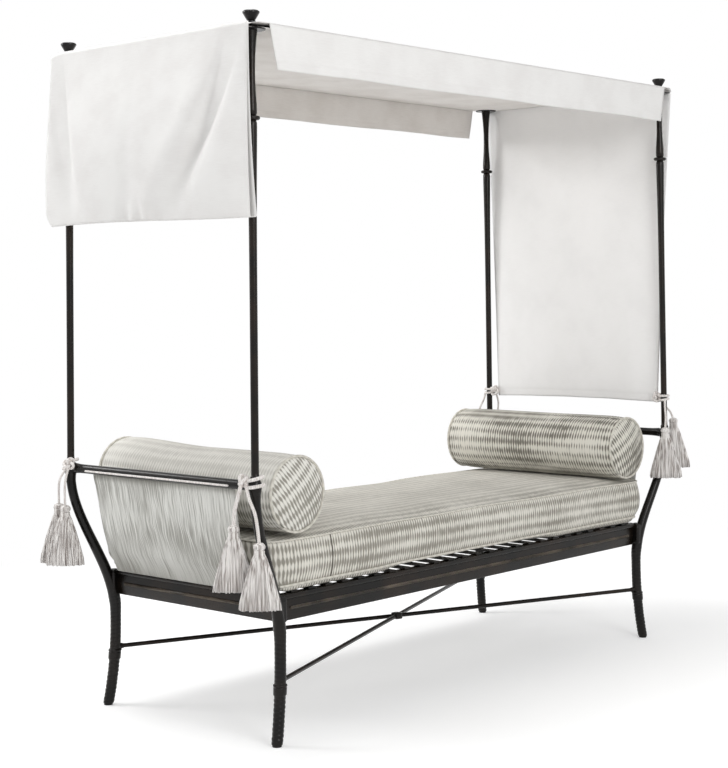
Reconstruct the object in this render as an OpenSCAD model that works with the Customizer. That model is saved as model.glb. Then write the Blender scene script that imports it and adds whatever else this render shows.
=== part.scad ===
// Canopy daybed: scimitar legs that sweep up into the arms, four slender posts,
// a fabric canopy with end drops, a boxed seat cushion, two bolsters and tasselled ties.
// Origin: centre of the footprint, on the floor. +X along the bed, +Z up.

/* [Bed] */
// Distance between the post centres along the bed
post_span_x = 2200; // [1900:10:2300]
// Distance between the post centres across the bed
post_span_y = 850; // [780:10:950]
// Outward sweep of an arm from the leg to the post
arm_flare = 142; // [110:2:160]
// Sideways share of that sweep
flare_ratio = 0.33; // [0.2:0.01:0.36]
// Height of the arm rail's centre line
arm_height = 772; // [740:2:800]

/* [Legs] */
// Radius of the leg at its middle
leg_r = 17.5; // [16:0.5:20]
// Radius of the arm at its middle
arm_r = 15; // [13:0.5:17]
// Outward kick of the foot
foot_kick = 26; // [10:1:40]
// Height below which the foot kicks out
foot_rise = 260; // [220:5:300]
// Height of the stretcher rods
stretcher_z = 184; // [165:1:230]
// Radius of the stretcher rods
stretcher_r = 7; // [5:0.5:9]
// Width of the square corner block
block_w = 36; // [34:1:40]
// Radius of a foot glide
glide_r = 14; // [10:1:16]
// Thickness of a foot glide
glide_t = 4; // [3:0.5:8]

/* [Seat frame] */
// Underside of the seat rails
rail_base = 354; // [330:2:370]
// Height of the seat rails
rail_h = 80; // [70:1:90]
// Thickness of the seat rails
rail_t = 28; // [26:1:30]
// Depth of the sunk field in the rail's face
rail_recess = 6; // [3:0.5:8]
// Radius of the bead along the rail's field
rail_bead_r = 4; // [3:0.5:5]
// Height of the bead up the rail, as a share of the rail
rail_bead_at = 0.47; // [0.35:0.01:0.55]
// Thickness of a seat slat
slat_t = 6; // [4:0.5:8]
// Width of a seat slat
slat_w = 30; // [20:1:40]
// Pitch of the seat slats
slat_pitch = 74; // [60:1:100]

/* [Posts] */
// Radius of a post at its slim middle
post_r = 11.5; // [10:0.5:13]
// Underside of the capital disc on top of a post
capital_z = 2086; // [2040:1:2120]
// How far the collar ring on a post lies below the capital disc
collar_drop = 255; // [230:5:280]
// Radius of the capital disc
capital_r = 43; // [34:1:46]
// Thickness of the capital disc
capital_t = 4; // [3:0.5:6]
// Radius of a finial's widest rim
finial_r = 25; // [20:0.5:30]
// Height of a finial above the canopy
finial_h = 38; // [30:1:50]
// Radius of the finial's stem
stem_r = 4; // [3:0.5:5]

/* [Canopy] */
// Side of the square canopy rails
canopy_rail_w = 12; // [10:1:16]
// Thickness of one layer of canopy cloth
cloth_t = 2; // [1.5:0.5:3]
// Drop of the front and back valances
valance_h = 132; // [100:2:160]
// How far each end of a valance stays short of the posts' centre line
valance_inset = 30; // [20:5:120]
// How far each end of a valance slants in at the bottom
valance_slant = 30; // [0:5:60]
// How far an end drop reaches past the posts' centre line, each side
drop_reach = 25; // [10:5:35]
// Length of the folded-up left drop
left_drop_h = 554; // [450:2:700]
// Height of the right drop's hem above the arm's knob
right_hem_gap = 97; // [80:1:200]
// How much narrower the tied hem of the right drop is, each side
hem_draw = 62; // [60:1:70]
// How far the tied hem of the right drop is drawn inwards
hem_inset = 30; // [20:1:34]

/* [Cushions] */
// Gap between the cushion's ends and the slings
cushion_end_gap = 3.5; // [1:0.5:40]
// How far the seat cushion reaches past the front and back rails
cushion_side_reach = 2; // [-20:1:4]
// Thickness of the seat cushion
cushion_h = 168; // [120:2:180]
// Radius of the cushion's upright corners
cushion_corner = 40; // [36:1:60]
// Radius of a bolster
bolster_r = 118; // [90:1:125]
// How much longer a bolster is than the cushion is deep
bolster_extra_l = 40; // [-100:5:45]
// Gap between a bolster and the arm rail
bolster_gap = 82; // [60:1:200]
// How far each side edge of a sling stays inside the arms' centre lines
sling_inset = 100; // [80:5:150]
// Thickness of the end slings
sling_t = 5; // [3:0.5:5.5]

/* [Ties] */
// Radius of the tie rope
rope_r = 4; // [3:0.5:5]
// Length of a tassel
tassel_l = 195; // [150:5:220]
// Radius of a tassel near its hem
tassel_r = 61; // [35:1:62]
// Radius near the hem of the tassels in the corner behind the right bolster
corner_tassel_r = 43; // [30:1:44]

/* [Hidden] */

clearance = 0.3;      // between pieces that lie against each other but move apart
stem_clearance = 0.06; // round a finial's stem, in each bore
arm_rail_w = 20;
arm_rail_h = 28;
arm_boss = 24;         // from the arm's centre to the end of the arm rail
post_x = post_span_x / 2;
post_y = post_span_y / 2;
leg_x = post_x - arm_flare;
leg_y = post_y - arm_flare * flare_ratio;
rail_top = rail_base + rail_h;
rail_face_x = leg_x + 4;   // outer face of the end rails
rail_face_y = leg_y;       // outer face of the front and back rails
block_x = rail_face_x;
block_y = leg_y + 2;
block_in_x = block_x - block_w / 2;   // inner sides of the corner block
block_in_y = block_y - block_w / 2;
arm_sweep_low = rail_base - 54;         // height at which the arm starts to sweep out
arm_sweep_high = arm_height - 22;       // height at which it stands upright again
post_foot = arm_height + 18;            // top of the arm's knob, where the post stands
collar_z = capital_z - collar_drop;     // middle of the collar ring
slat_top = rail_top + slat_t;
cushion_l = 2 * (leg_centre(slat_top)[0] - sling_t / 2 - cushion_end_gap);
cushion_d = 2 * (rail_face_y + cushion_side_reach);
cushion_base = slat_top + clearance;
cushion_top = cushion_base + cushion_h;
bolster_z = cushion_top + clearance + bolster_r;
bolster_l = cushion_d + bolster_extra_l;
bolster_x = post_x - arm_rail_w / 2 - bolster_gap - bolster_r;
sling_w = 2 * (post_y - sling_inset);
capital_top = capital_z + capital_t;
canopy_rail_z = capital_top + cloth_t;
canopy_z = canopy_rail_z + canopy_rail_w;   // underside of the canopy's top cloth
right_drop_h = canopy_z - post_foot - right_hem_gap;
wall_x = post_x + capital_r + clearance;    // inner face of the end drops
wall_y = post_y + capital_r + clearance;    // inner face of the valances
valance_half = post_x - valance_inset;
drop_half = post_y + drop_reach;
drop_t = 3 * cloth_t;                       // the left drop is folded up on itself
single_t = 1.5 * cloth_t;                   // a hemmed single panel
knob_r = 4 + arm_r;
leg_boss = leg_r + 8.5;  // from the leg's centre to the end of a stretcher rod
stretcher_hub_r = 20;   // wide enough that the four rods end apart
rail_top_band = 16;
nosing_r = 5;
$fn = 40;

// smooth step from 0 to 1
function ease(t) = let (s = min(1, max(0, t))) s * s * (3 - 2 * s);
// outward offset of the leg and arm's centre line at height z
function sweep_out(z) =
    arm_flare * ease((z - arm_sweep_low) / (arm_sweep_high - arm_sweep_low))
    + foot_kick * pow(max(0, 1 - z / foot_rise), 2);
// centre of the leg and arm at height z, for the back right corner
function leg_centre(z) = [leg_x + sweep_out(z), leg_y + flare_ratio * sweep_out(z), z];
function unit(v) = v / norm(v);

// closed solid through rings of points that turn anticlockwise seen from their last ring
module loft(rings) {
    n = len(rings[0]);
    last = len(rings) - 1;
    points = [for (ring = rings, p = ring) p];
    sides = [for (k = [0:last - 1], i = [0:n - 1])
        [k * n + i, (k + 1) * n + i, (k + 1) * n + (i + 1) % n, k * n + (i + 1) % n]];
    start = [for (i = [0:n - 1]) i];
    end = [for (i = [n - 1:-1:0]) last * n + i];
    polyhedron(points, concat([start], sides, [end]), convexity = 6);
}

// turns a piece made for the back right corner to the corner at those signs
module at_corner(sx, sy) {
    mirror([sx < 0 ? 1 : 0, 0, 0]) mirror([0, sy < 0 ? 1 : 0, 0]) children();
}

module at_each_corner() {
    for (sx = [-1, 1], sy = [-1, 1]) at_corner(sx, sy) children();
}

// ---- leg and arm ----

// height and radius of each ring up the leg and arm: foot, sleeve band, neck under the block,
// the long taper of the arm in even steps, and the knob
arm_steps = 8;
function arm_ring_z(k) = rail_top + 6 + (arm_height - 36 - rail_top) * k / arm_steps;
leg_rings = concat(
    [
        [glide_t, leg_r - 1.5], [glide_t + 6, leg_r - 0.5], [stretcher_z * 0.4, leg_r - 0.5],
        [stretcher_z - 44, leg_r - 0.5], [stretcher_z - 38, leg_r + 2.5],
        [stretcher_z - 18, leg_r + 3], [stretcher_z - 15, leg_r + 1],
        [stretcher_z - 13, leg_r + 3.5], [stretcher_z - 9, leg_r + 3.5],
        [stretcher_z - 7, leg_r], [stretcher_z + 40, leg_r], [rail_base - 60, leg_r],
        [rail_base - 14, leg_r + 2], [rail_base + 26, leg_r + 1]
    ],
    [for (k = [0:arm_steps]) [arm_ring_z(k), arm_r + 2 * pow(1 - k / arm_steps, 2)]],
    [
        [arm_height - 20, knob_r - 1], [arm_height - 12, knob_r], [arm_height + 8, knob_r],
        [arm_height + 13, knob_r - 2], [post_foot, arm_r - 1]
    ]);

// level rings, widened along the sweep so that the bar keeps its thickness on the slope
module leg_bar() {
    along = unit([1, flare_ratio, 0]);
    across = [-along[1], along[0], 0];
    sides = 16;
    loft([for (s = leg_rings)
        let (slope = norm(leg_centre(s[0] + 1) - leg_centre(s[0] - 1)) / 2)
        [for (i = [0:sides - 1])
            leg_centre(s[0]) + s[1] * slope * cos(360 * i / sides) * along
                + s[1] * sin(360 * i / sides) * across]]);
}

function stretcher_heading() = atan2(leg_centre(stretcher_z)[1], leg_centre(stretcher_z)[0]);
function stretcher_reach() =
    norm([leg_centre(stretcher_z)[0], leg_centre(stretcher_z)[1]]) - leg_boss;

module leg() {
    color([0.11, 0.1, 0.09]) difference() {
        union() {
            leg_bar();
            // corner block that the seat rails butt against
            translate([block_in_x, block_in_y, rail_base - 2])
                cube([block_w, block_w, rail_h + 4]);
            // boss for the stretcher rod
            translate([0, 0, stretcher_z]) rotate([0, 0, stretcher_heading()])
                translate([stretcher_reach(), 0, 0]) rotate([0, 90, 0])
                    cylinder(h = leg_boss, r1 = stretcher_r + 1.5, r2 = stretcher_r + 6);
            // boss for the arm rail
            translate([post_x, post_y - arm_boss, arm_height]) rotate([-90, 0, 0])
                cylinder(h = arm_boss, r = arm_rail_h / 2 - 2);
        }
        // socket for the post's spigot
        translate([post_x, post_y, post_foot - spigot_l]) cylinder(h = spigot_l + 1, r = spigot_r);
    }
}
spigot_l = 24;
spigot_r = 7;

module foot_glides() {
    foot = leg_centre(glide_t);
    color([0.05, 0.05, 0.05]) at_each_corner()
        translate([foot[0], foot[1], 0]) cylinder(h = glide_t, r = glide_r);
}

// ---- seat frame ----

// moulded section, x outwards from the inner face and y up: a nosing along the top, a field
// that slopes out to the bead, and a lower band that slopes back in
module rail_section() {
    bead_y = rail_h * rail_bead_at;
    band_y = rail_h - rail_top_band;
    polygon([
        [0, 0], [rail_t - rail_recess - 2, 0], [rail_t - 3, bead_y], [rail_t - 2, bead_y],
        [rail_t - rail_recess, band_y], [rail_t, band_y], [rail_t, rail_h], [0, rail_h]]);
    translate([rail_t - 3, bead_y]) circle(r = rail_bead_r);
    intersection() {
        translate([rail_t, rail_h - rail_top_band / 2]) circle(r = nosing_r);
        square([rail_t + nosing_r, rail_h]);
    }
}

// rail along X with its outer face at y = face, butted to the corner blocks and mitred behind them
module rail(face, block_end, block_side, inner_end) {
    color([0.13, 0.11, 0.09]) intersection() {
        translate([-block_end, face - rail_t, rail_base]) rotate([90, 0, 90])
            linear_extrude(2 * block_end) rail_section();
        translate([0, 0, rail_base - 1]) linear_extrude(rail_h + 2) polygon([
            [-block_end, face + nosing_r + 1], [block_end, face + nosing_r + 1],
            [block_end, block_side], [inner_end, face - rail_t],
            [-inner_end, face - rail_t], [-block_end, block_side]]);
    }
}

module long_rail() { rail(rail_face_y, block_in_x, block_in_y, rail_face_x - rail_t); }

module end_rail() {
    rotate([0, 0, -90]) rail(rail_face_x, block_in_y, block_in_x, rail_face_y - rail_t);
}

module seat_slats() {
    reach = rail_face_x - rail_t / 2 - slat_w;
    each_side = floor(reach / slat_pitch);
    color([0.1, 0.09, 0.08]) for (i = [-each_side:each_side])
        translate([i * slat_pitch - slat_w / 2, -(rail_face_y - 6), rail_top])
            cube([slat_w, 2 * (rail_face_y - 6), slat_t]);
}

// oval bar with a raised bead along its outer side
module arm_rail() {
    half = post_y - arm_boss;
    bead_half = half - 28;
    color([0.15, 0.12, 0.1]) translate([post_x, 0, arm_height]) rotate([90, 0, 0]) {
        translate([0, 0, -half]) linear_extrude(2 * half) union() {
            for (s = [-1, 1])
                translate([0, s * (arm_rail_h - arm_rail_w) / 2]) circle(r = arm_rail_w / 2);
            square([arm_rail_w, arm_rail_h - arm_rail_w], center = true);
        }
        translate([arm_rail_w / 2, -4, -bead_half]) cylinder(h = 2 * bead_half, r = 3.5);
    }
}

// ---- stretchers ----

module stretcher_hub_bar() {
    translate([0, 0, stretcher_z - 9]) cylinder(h = 18, r = stretcher_hub_r);
}

module stretcher_rods() {
    color([0.08, 0.08, 0.07]) at_each_corner() difference() {
        translate([0, 0, stretcher_z]) rotate([0, 0, stretcher_heading()]) rotate([0, 90, 0])
            translate([0, 0, stretcher_hub_r - 4])
                cylinder(h = stretcher_reach() - stretcher_hub_r + 4, r = stretcher_r);
        stretcher_hub_bar();
    }
}

module stretcher_hub() {
    color([0.08, 0.08, 0.07]) {
        stretcher_hub_bar();
        translate([0, 0, stretcher_z + 9]) cylinder(h = 3, r1 = stretcher_hub_r, r2 = 8);
        translate([0, 0, stretcher_z - 12]) cylinder(h = 3, r1 = 8, r2 = stretcher_hub_r);
    }
}

// ---- posts, capitals and finials ----

// height and radius up a post: base ring, slim shaft, swelling, collar, waist and flared top
shaft_h = collar_z - post_foot;
neck_h = capital_z - collar_z;
post_profile = [
    [post_foot, post_r + 1.5], [post_foot + 3, post_r + 3], [post_foot + 8, post_r + 3],
    [post_foot + 12, post_r + 0.5], [post_foot + 0.06 * shaft_h, post_r],
    [post_foot + 0.49 * shaft_h, post_r], [post_foot + 0.74 * shaft_h, post_r + 0.8],
    [post_foot + 0.87 * shaft_h, post_r + 2], [post_foot + 0.95 * shaft_h, post_r + 3.2],
    [collar_z - 14, post_r + 3.2], [collar_z - 8, post_r + 1], [collar_z - 6, post_r + 5],
    [collar_z + 6, post_r + 5], [collar_z + 8, post_r + 1], [collar_z + 12, post_r + 3.4],
    [collar_z + 0.16 * neck_h, post_r + 3], [collar_z + 0.35 * neck_h, post_r],
    [collar_z + 0.51 * neck_h, post_r - 1], [collar_z + 0.65 * neck_h, post_r - 0.6],
    [collar_z + 0.8 * neck_h, post_r + 1.5], [collar_z + 0.92 * neck_h, post_r + 4.2],
    [capital_z, post_r + 6.5]
];
post_bore_l = 26;

module post() {
    color([0.2, 0.15, 0.12]) translate([post_x, post_y, 0]) difference() {
        union() {
            rotate_extrude() polygon(concat(
                [[0, post_foot]], [for (s = post_profile) [s[1], s[0]]], [[0, capital_z]]));
            rotate_extrude() translate([post_r + 7.5, collar_z]) circle(r = 5);
            // spigot that drops into the arm's socket
            translate([0, 0, post_foot - spigot_l + 1]) cylinder(h = spigot_l, r = spigot_r);
        }
        // bore for the finial's stem
        translate([0, 0, capital_z - post_bore_l])
            cylinder(h = post_bore_l + 1, r = stem_r + stem_clearance);
    }
}

module post_capitals() {
    color([0.07, 0.07, 0.07]) at_each_corner() translate([post_x, post_y, capital_z]) difference() {
        cylinder(h = capital_t, r1 = capital_r - 2, r2 = capital_r);
        translate([0, 0, -1]) cylinder(h = capital_t + 2, r = stem_r + stem_clearance);
    }
}

module finial() {
    base = canopy_z + cloth_t + clearance;
    stem_low = capital_z - post_bore_l + 4;
    profile = [
        [0, 9], [2, 14], [6, 14], [8, 11.5], [12, 14.5], [finial_h - 8, finial_r],
        [finial_h - 4, finial_r], [finial_h - 1, finial_r - 4]];
    color([0.06, 0.06, 0.06]) translate([post_x, post_y, base]) {
        rotate_extrude() polygon(concat([[0, 0]], [for (s = profile) [s[1], s[0]]], [[0, finial_h]]));
        translate([0, 0, stem_low - base]) cylinder(h = base - stem_low + 1, r = stem_r);
    }
}

// ---- canopy ----

// rail along X between the two end rails
module long_canopy_rail() {
    half = post_x - canopy_rail_w / 2;
    color([0.12, 0.12, 0.12]) translate([-half, post_y - canopy_rail_w / 2, canopy_rail_z])
        cube([2 * half, canopy_rail_w, canopy_rail_w]);
}

// rail along Y, drilled over both posts
module end_canopy_rail() {
    half = post_y + canopy_rail_w / 2;
    color([0.12, 0.12, 0.12]) difference() {
        translate([post_x - canopy_rail_w / 2, -half, canopy_rail_z])
            cube([canopy_rail_w, 2 * half, canopy_rail_w]);
        for (s = [-1, 1]) translate([post_x, s * post_y, canopy_rail_z - 1])
            cylinder(h = canopy_rail_w + 2, r = stem_r + stem_clearance);
    }
}

module canopy_sheet(z, half_x, half_y) {
    color([0.93, 0.92, 0.9]) difference() {
        translate([-half_x, -half_y, z]) cube([2 * half_x, 2 * half_y, cloth_t]);
        at_each_corner() translate([post_x, post_y, z - 1])
            cylinder(h = cloth_t + 2, r = stem_r + 2);
    }
}

module canopy_top() { canopy_sheet(canopy_z, wall_x + drop_t, wall_y + single_t); }

module canopy_lining() { canopy_sheet(capital_top, wall_x, wall_y); }

module valance() {
    low = valance_half - valance_slant;
    color([0.93, 0.92, 0.9]) translate([0, wall_y + single_t, canopy_z]) rotate([90, 0, 0])
        linear_extrude(single_t) polygon([
            [-valance_half, 0], [-low, -valance_h], [low, -valance_h], [valance_half, 0]]);
}

module left_drop() {
    color([0.93, 0.92, 0.9]) translate([-wall_x - drop_t, -drop_half, canopy_z - left_drop_h])
        cube([drop_t, 2 * drop_half, left_drop_h]);
}

// hangs from the canopy's end, and its hem is drawn in to the posts
module right_drop() {
    hem = drop_half - hem_draw;
    lean_z = capital_z - 10;
    lean_h = lean_z - canopy_z + right_drop_h;
    color([0.93, 0.92, 0.9]) {
        translate([wall_x, -drop_half, lean_z])
            cube([single_t, 2 * drop_half, canopy_z - lean_z]);
        translate([wall_x, 0, lean_z]) multmatrix([[1, 0, hem_inset / lean_h, 0]])
            rotate([90, 0, 90]) linear_extrude(single_t) polygon([
                [-drop_half, 0], [-hem, -lean_h], [hem, -lean_h], [drop_half, 0]]);
    }
}

// ---- cushions and slings ----

module seat_cushion() {
    inset_x = cushion_l / 2 - cushion_corner;
    inset_y = cushion_d / 2 - cushion_corner;
    color([0.75, 0.73, 0.68]) translate([0, 0, cushion_base]) linear_extrude(cushion_h) union() {
        square([cushion_l, 2 * inset_y], center = true);
        square([2 * inset_x, cushion_d], center = true);
        for (sx = [-1, 1], sy = [-1, 1])
            translate([sx * inset_x, sy * inset_y]) circle(r = cushion_corner);
    }
}

module bolster() {
    edge = 14;
    half = bolster_l / 2;
    color([0.75, 0.73, 0.68]) translate([bolster_x, 0, bolster_z]) rotate([90, 0, 0])
        rotate_extrude() polygon(concat(
            [[0, -half]],
            [for (a = [0:15:90]) [bolster_r - edge + edge * sin(a), -half + edge - edge * cos(a)]],
            [for (a = [90:15:180]) [bolster_r - edge + edge * sin(a), half - edge - edge * cos(a)]],
            [[0, half]]));
}

// cloth sling between the arms: it follows their sweep and tucks under the cushion
module end_sling() {
    lip_in = rail_face_x - 8;                 // inner end of the tucked lip
    low = rail_top + sling_t + 6;
    high = arm_height - arm_rail_h / 2 - clearance;
    heights = [for (i = [0:15]) low + (high - low) * i / 15];
    half_t = sling_t / 2;
    outer = [for (z = heights) [leg_centre(z)[0] + half_t, z]];
    inner = [for (i = [15:-1:0]) [leg_centre(heights[i])[0] - half_t, heights[i]]];
    color([0.7, 0.69, 0.65]) translate([0, sling_w / 2, 0]) rotate([90, 0, 0])
        linear_extrude(sling_w) polygon(concat(
            [[lip_in, rail_top], [outer[0][0] - 9, rail_top]], outer, inner,
            [[inner[15][0] - 2, rail_top + sling_t], [lip_in, rail_top + sling_t]]));
}

// ---- ties and tassels ----

left_tie_r = knob_r + 2;   // lies loose on the arm rail, round the post's foot
low_turn_r = knob_r + rope_r + 0.6;   // hangs in front of the knob, between the rail's two sides
low_turn_start = -43;
low_turn_angle = 263;
right_tie_r = post_r + rope_r + 0.9;
left_knot = [24, -22.5, 0];
right_knot = [12, -23.5, 0];
knot_ball_r = 12;
left_tie_z = arm_height + arm_rail_h / 2 + clearance + rope_r;
right_tie_z = post_foot + right_hem_gap + 16;

module rope_turn(r, z, turn = 360) {
    translate([0, 0, z]) rotate_extrude(angle = turn) translate([r, 0]) circle(r = rope_r, $fn = 20);
}

// one turn round the post's foot, one hung low round the outside of the knob, and the knot
module left_tie() {
    color([0.9, 0.88, 0.85]) translate([post_x, post_y, left_tie_z]) {
        rope_turn(left_tie_r, 0);
        translate(left_knot) sphere(r = knot_ball_r, $fn = 24);
        rotate([0, 0, low_turn_start]) {
            rope_turn(low_turn_r, arm_height - left_tie_z, low_turn_angle);
            translate([low_turn_r, 0, arm_height - left_tie_z])
                cylinder(h = left_tie_z - arm_height, r = rope_r);
        }
    }
}

// two turns round the post under the drop's hem, and the knot beside them
module right_tie() {
    color([0.9, 0.88, 0.85]) translate([post_x, post_y, right_tie_z]) {
        rope_turn(right_tie_r, 0);
        rope_turn(right_tie_r, 2 * rope_r - 0.5);
        translate(right_knot) sphere(r = knot_ball_r, $fn = 24);
    }
}

// a point between b and c on the smooth line through a, b, c and d
function smooth_point(a, b, c, d, t) =
    0.5 * (2 * b + (c - a) * t + (2 * a - 5 * b + 4 * c - d) * t * t
        + (3 * b - a - 3 * c + d) * t * t * t);
// the smooth line through the route's points, with two steps between them
function smooth_route(route) = let (n = len(route) - 1) concat(
    [for (i = [0:n - 1], t = [0, 0.5]) smooth_point(
        route[max(0, i - 1)], route[i], route[i + 1], route[min(n, i + 2)], t)],
    [route[n]]);

// rope along a route that runs down from the knot to the tassel
module cord(route) {
    path = smooth_route(route);
    last = len(path) - 1;
    color([0.9, 0.88, 0.85]) loft([for (k = [0:last])
        let (
            t = unit(path[min(last, k + 1)] - path[max(0, k - 1)]),
            n = unit(cross(t, [0, 1, 0])),
            b = cross(t, n))
        [for (i = [0:7]) path[k] + (rope_r - 0.5) * (cos(45 * i) * n + sin(45 * i) * b)]]);
}

// neck of a tassel, where the skirt starts to spread
tassel_neck_r = 13;
function skirt_r(share, r) = tassel_neck_r + (r - tassel_neck_r) * (share - 0.16) / 0.79;

// tassel hanging below p, flattened: half as deep as wide, its width along heading
module tassel(p, heading, r = tassel_r) {
    depth = 0.42;
    neck = tassel_neck_r;
    shape = concat(
        [[-1, r - 2], [-0.95, r]],
        [for (share = [0.7, 0.45, 0.25]) [-share, skirt_r(share, r)]],
        [[-0.16, neck], [-0.14, neck + 1.5], [-0.1, neck + 1.5], [-0.085, neck],
            [-0.05, neck + 2], [-0.015, neck - 1], [0, neck - 7]]);
    sides = 16;
    color([0.88, 0.86, 0.84]) translate(p + [0, 0, cord_hold]) rotate([0, 0, heading])
        loft([for (s = shape)
            let (flat = s[0] < -0.16 ? depth + (1 - depth) * pow((1 + s[0]) / 0.84, 2) : 1)
            [for (i = [0:sides - 1]) [
                s[1] * cos(360 * i / sides), s[1] * flat * sin(360 * i / sides),
                tassel_l * s[0]]]]);
}

// routes of the tie cords, from inside a knot or a turn round the post down into each tassel's head
front_left_route_a = [[-1127, -398, 784], [-1134, -388, 740], [-1134, -374, 700], [-1132, -367, 656]];
front_left_route_b = [[-1122, -407, 784], [-1130, -430, 740], [-1124, -450, 690], [-1118, -458, 612]];
back_left_route_a = [[-1127, 398, 784], [-1131, 412, 740], [-1126, 424, 700], [-1122, 427, 650]];
back_left_route_b = [[-1122, 407, 784], [-1134, 436, 740], [-1119, 464, 700], [-1103, 484, 650]];
front_right_route_a = [[1088, -436, 902], [1080, -442, 870], [1063, -455, 835], [1050, -460, 792]];
front_right_route_b = [[1114, -402, 896], [1129, -411, 872], [1142, -426, 850], [1146, -437, 822]];
back_right_route_a = [[1114, 402, 896], [1130, 404, 868], [1140, 410, 842], [1142, 416, 812]];
back_right_route_b = [[1092, 439, 902], [1088, 447, 870], [1080, 461, 835], [1075, 470, 792]];
cord_hold = 6; // length of a cord's end inside the tassel's head

// heading of the tassels' flat sides
tassel_heading = -48;

module corner_tassel(p) { tassel(p, tassel_heading, corner_tassel_r); }

function route_end(route) = route[len(route) - 1];

at_corner(-1, -1) leg();  // front_left_leg
at_corner(-1, 1) leg();  // back_left_leg
at_corner(1, -1) leg();  // front_right_leg
at_corner(1, 1) leg();  // back_right_leg
foot_glides();
at_corner(1, -1) long_rail();  // front_seat_rail
long_rail();  // back_seat_rail
at_corner(-1, 1) end_rail();  // left_seat_rail
end_rail();  // right_seat_rail
seat_slats();
at_corner(-1, 1) arm_rail();  // left_arm_rail
arm_rail();  // right_arm_rail
stretcher_rods();
stretcher_hub();
at_corner(-1, -1) post();  // front_left_post
at_corner(-1, 1) post();  // back_left_post
at_corner(1, -1) post();  // front_right_post
at_corner(1, 1) post();  // back_right_post
post_capitals();
at_corner(-1, -1) finial();  // front_left_finial
at_corner(-1, 1) finial();  // back_left_finial
at_corner(1, -1) finial();  // front_right_finial
at_corner(1, 1) finial();  // back_right_finial
at_corner(1, -1) long_canopy_rail();  // front_canopy_rail
long_canopy_rail();  // back_canopy_rail
at_corner(-1, 1) end_canopy_rail();  // left_canopy_rail
end_canopy_rail();  // right_canopy_rail
canopy_top();
canopy_lining();
at_corner(1, -1) valance();  // front_valance
valance();  // back_valance
left_drop();
right_drop();
seat_cushion();
at_corner(-1, 1) bolster();  // left_bolster
bolster();  // right_bolster
at_corner(-1, 1) end_sling();  // left_end_sling
end_sling();  // right_end_sling
at_corner(-1, -1) left_tie();  // front_left_tie
at_corner(-1, 1) left_tie();  // back_left_tie
at_corner(1, -1) right_tie();  // front_right_tie
at_corner(1, 1) right_tie();  // back_right_tie
cord(front_left_route_a);  // front_left_cord_a
cord(front_left_route_b);  // front_left_cord_b
cord(back_left_route_a);  // back_left_cord_a
cord(back_left_route_b);  // back_left_cord_b
cord(front_right_route_a);  // front_right_cord_a
cord(front_right_route_b);  // front_right_cord_b
cord(back_right_route_a);  // back_right_cord_a
cord(back_right_route_b);  // back_right_cord_b
tassel(route_end(front_left_route_a), tassel_heading);  // front_left_tassel_a
tassel(route_end(front_left_route_b), tassel_heading);  // front_left_tassel_b
tassel(route_end(back_left_route_a), tassel_heading);  // back_left_tassel_a
tassel(route_end(back_left_route_b), tassel_heading);  // back_left_tassel_b
tassel(route_end(front_right_route_a), tassel_heading);  // front_right_tassel_a
tassel(route_end(front_right_route_b), tassel_heading);  // front_right_tassel_b
corner_tassel(route_end(back_right_route_a));  // back_right_tassel_a
corner_tassel(route_end(back_right_route_b));  // back_right_tassel_b
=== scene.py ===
import math
import bmesh
import bpy
import numpy as np
from mathutils import Matrix


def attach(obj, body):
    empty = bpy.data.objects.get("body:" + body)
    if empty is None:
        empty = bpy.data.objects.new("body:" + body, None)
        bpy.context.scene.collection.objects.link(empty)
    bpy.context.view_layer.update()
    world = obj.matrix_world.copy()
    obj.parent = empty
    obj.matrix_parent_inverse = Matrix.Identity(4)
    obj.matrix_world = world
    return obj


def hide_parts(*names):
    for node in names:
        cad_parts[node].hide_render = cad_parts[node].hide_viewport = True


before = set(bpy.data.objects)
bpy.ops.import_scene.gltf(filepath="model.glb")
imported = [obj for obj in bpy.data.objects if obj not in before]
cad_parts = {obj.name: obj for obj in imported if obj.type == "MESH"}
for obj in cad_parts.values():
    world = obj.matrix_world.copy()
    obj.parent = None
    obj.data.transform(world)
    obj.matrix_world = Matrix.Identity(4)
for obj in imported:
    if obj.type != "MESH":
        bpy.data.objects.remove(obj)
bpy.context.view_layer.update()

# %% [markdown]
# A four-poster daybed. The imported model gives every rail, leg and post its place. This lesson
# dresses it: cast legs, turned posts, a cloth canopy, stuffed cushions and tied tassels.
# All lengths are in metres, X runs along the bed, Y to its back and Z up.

# %% [markdown]
# The camera stands off the bed's left front corner at about chest height, so it sees one end
# and one long side at once. A view shift keeps the posts upright, as a shift lens does, where
# tilting the camera down would make them lean together.

# %% Camera
CAMERA_SPOT = (-4.378, -3.8126, 1.3192)
YAW, NOD, ROLL = 0.836, 0.031, -0.011


def camera_frame(yaw, nod, roll):
    """Right, up and forward of a camera: turned by yaw from +Y towards +X, nodded up, and then
    rolled about the way it looks."""
    forward = np.array([math.sin(yaw) * math.cos(nod), math.cos(yaw) * math.cos(nod), math.sin(nod)])
    level = np.array([math.cos(yaw), -math.sin(yaw), 0.0])
    upward = np.cross(level, forward)
    right = math.cos(roll) * level + math.sin(roll) * upward
    up = math.cos(roll) * upward - math.sin(roll) * level
    return right, up, forward


def stand(made, right, up, forward, spot):
    """Puts a camera or a lamp at a spot. Both look along their own -Z, so Z becomes backward."""
    axes = np.stack([right, up, -forward, spot], 1)
    made.matrix_world = Matrix([*axes.tolist(), (0, 0, 0, 1)])
    bpy.context.scene.collection.objects.link(made)


lens = bpy.data.cameras.new("shift_lens")
lens.sensor_width, lens.lens = 36, 76.55
lens.shift_x, lens.shift_y = 0.0018, -0.183
camera = bpy.data.objects.new("camera", lens)
stand(camera, *camera_frame(YAW, NOD, ROLL), CAMERA_SPOT)
bpy.context.scene.camera = camera
print("camera stands at", CAMERA_SPOT)

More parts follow.
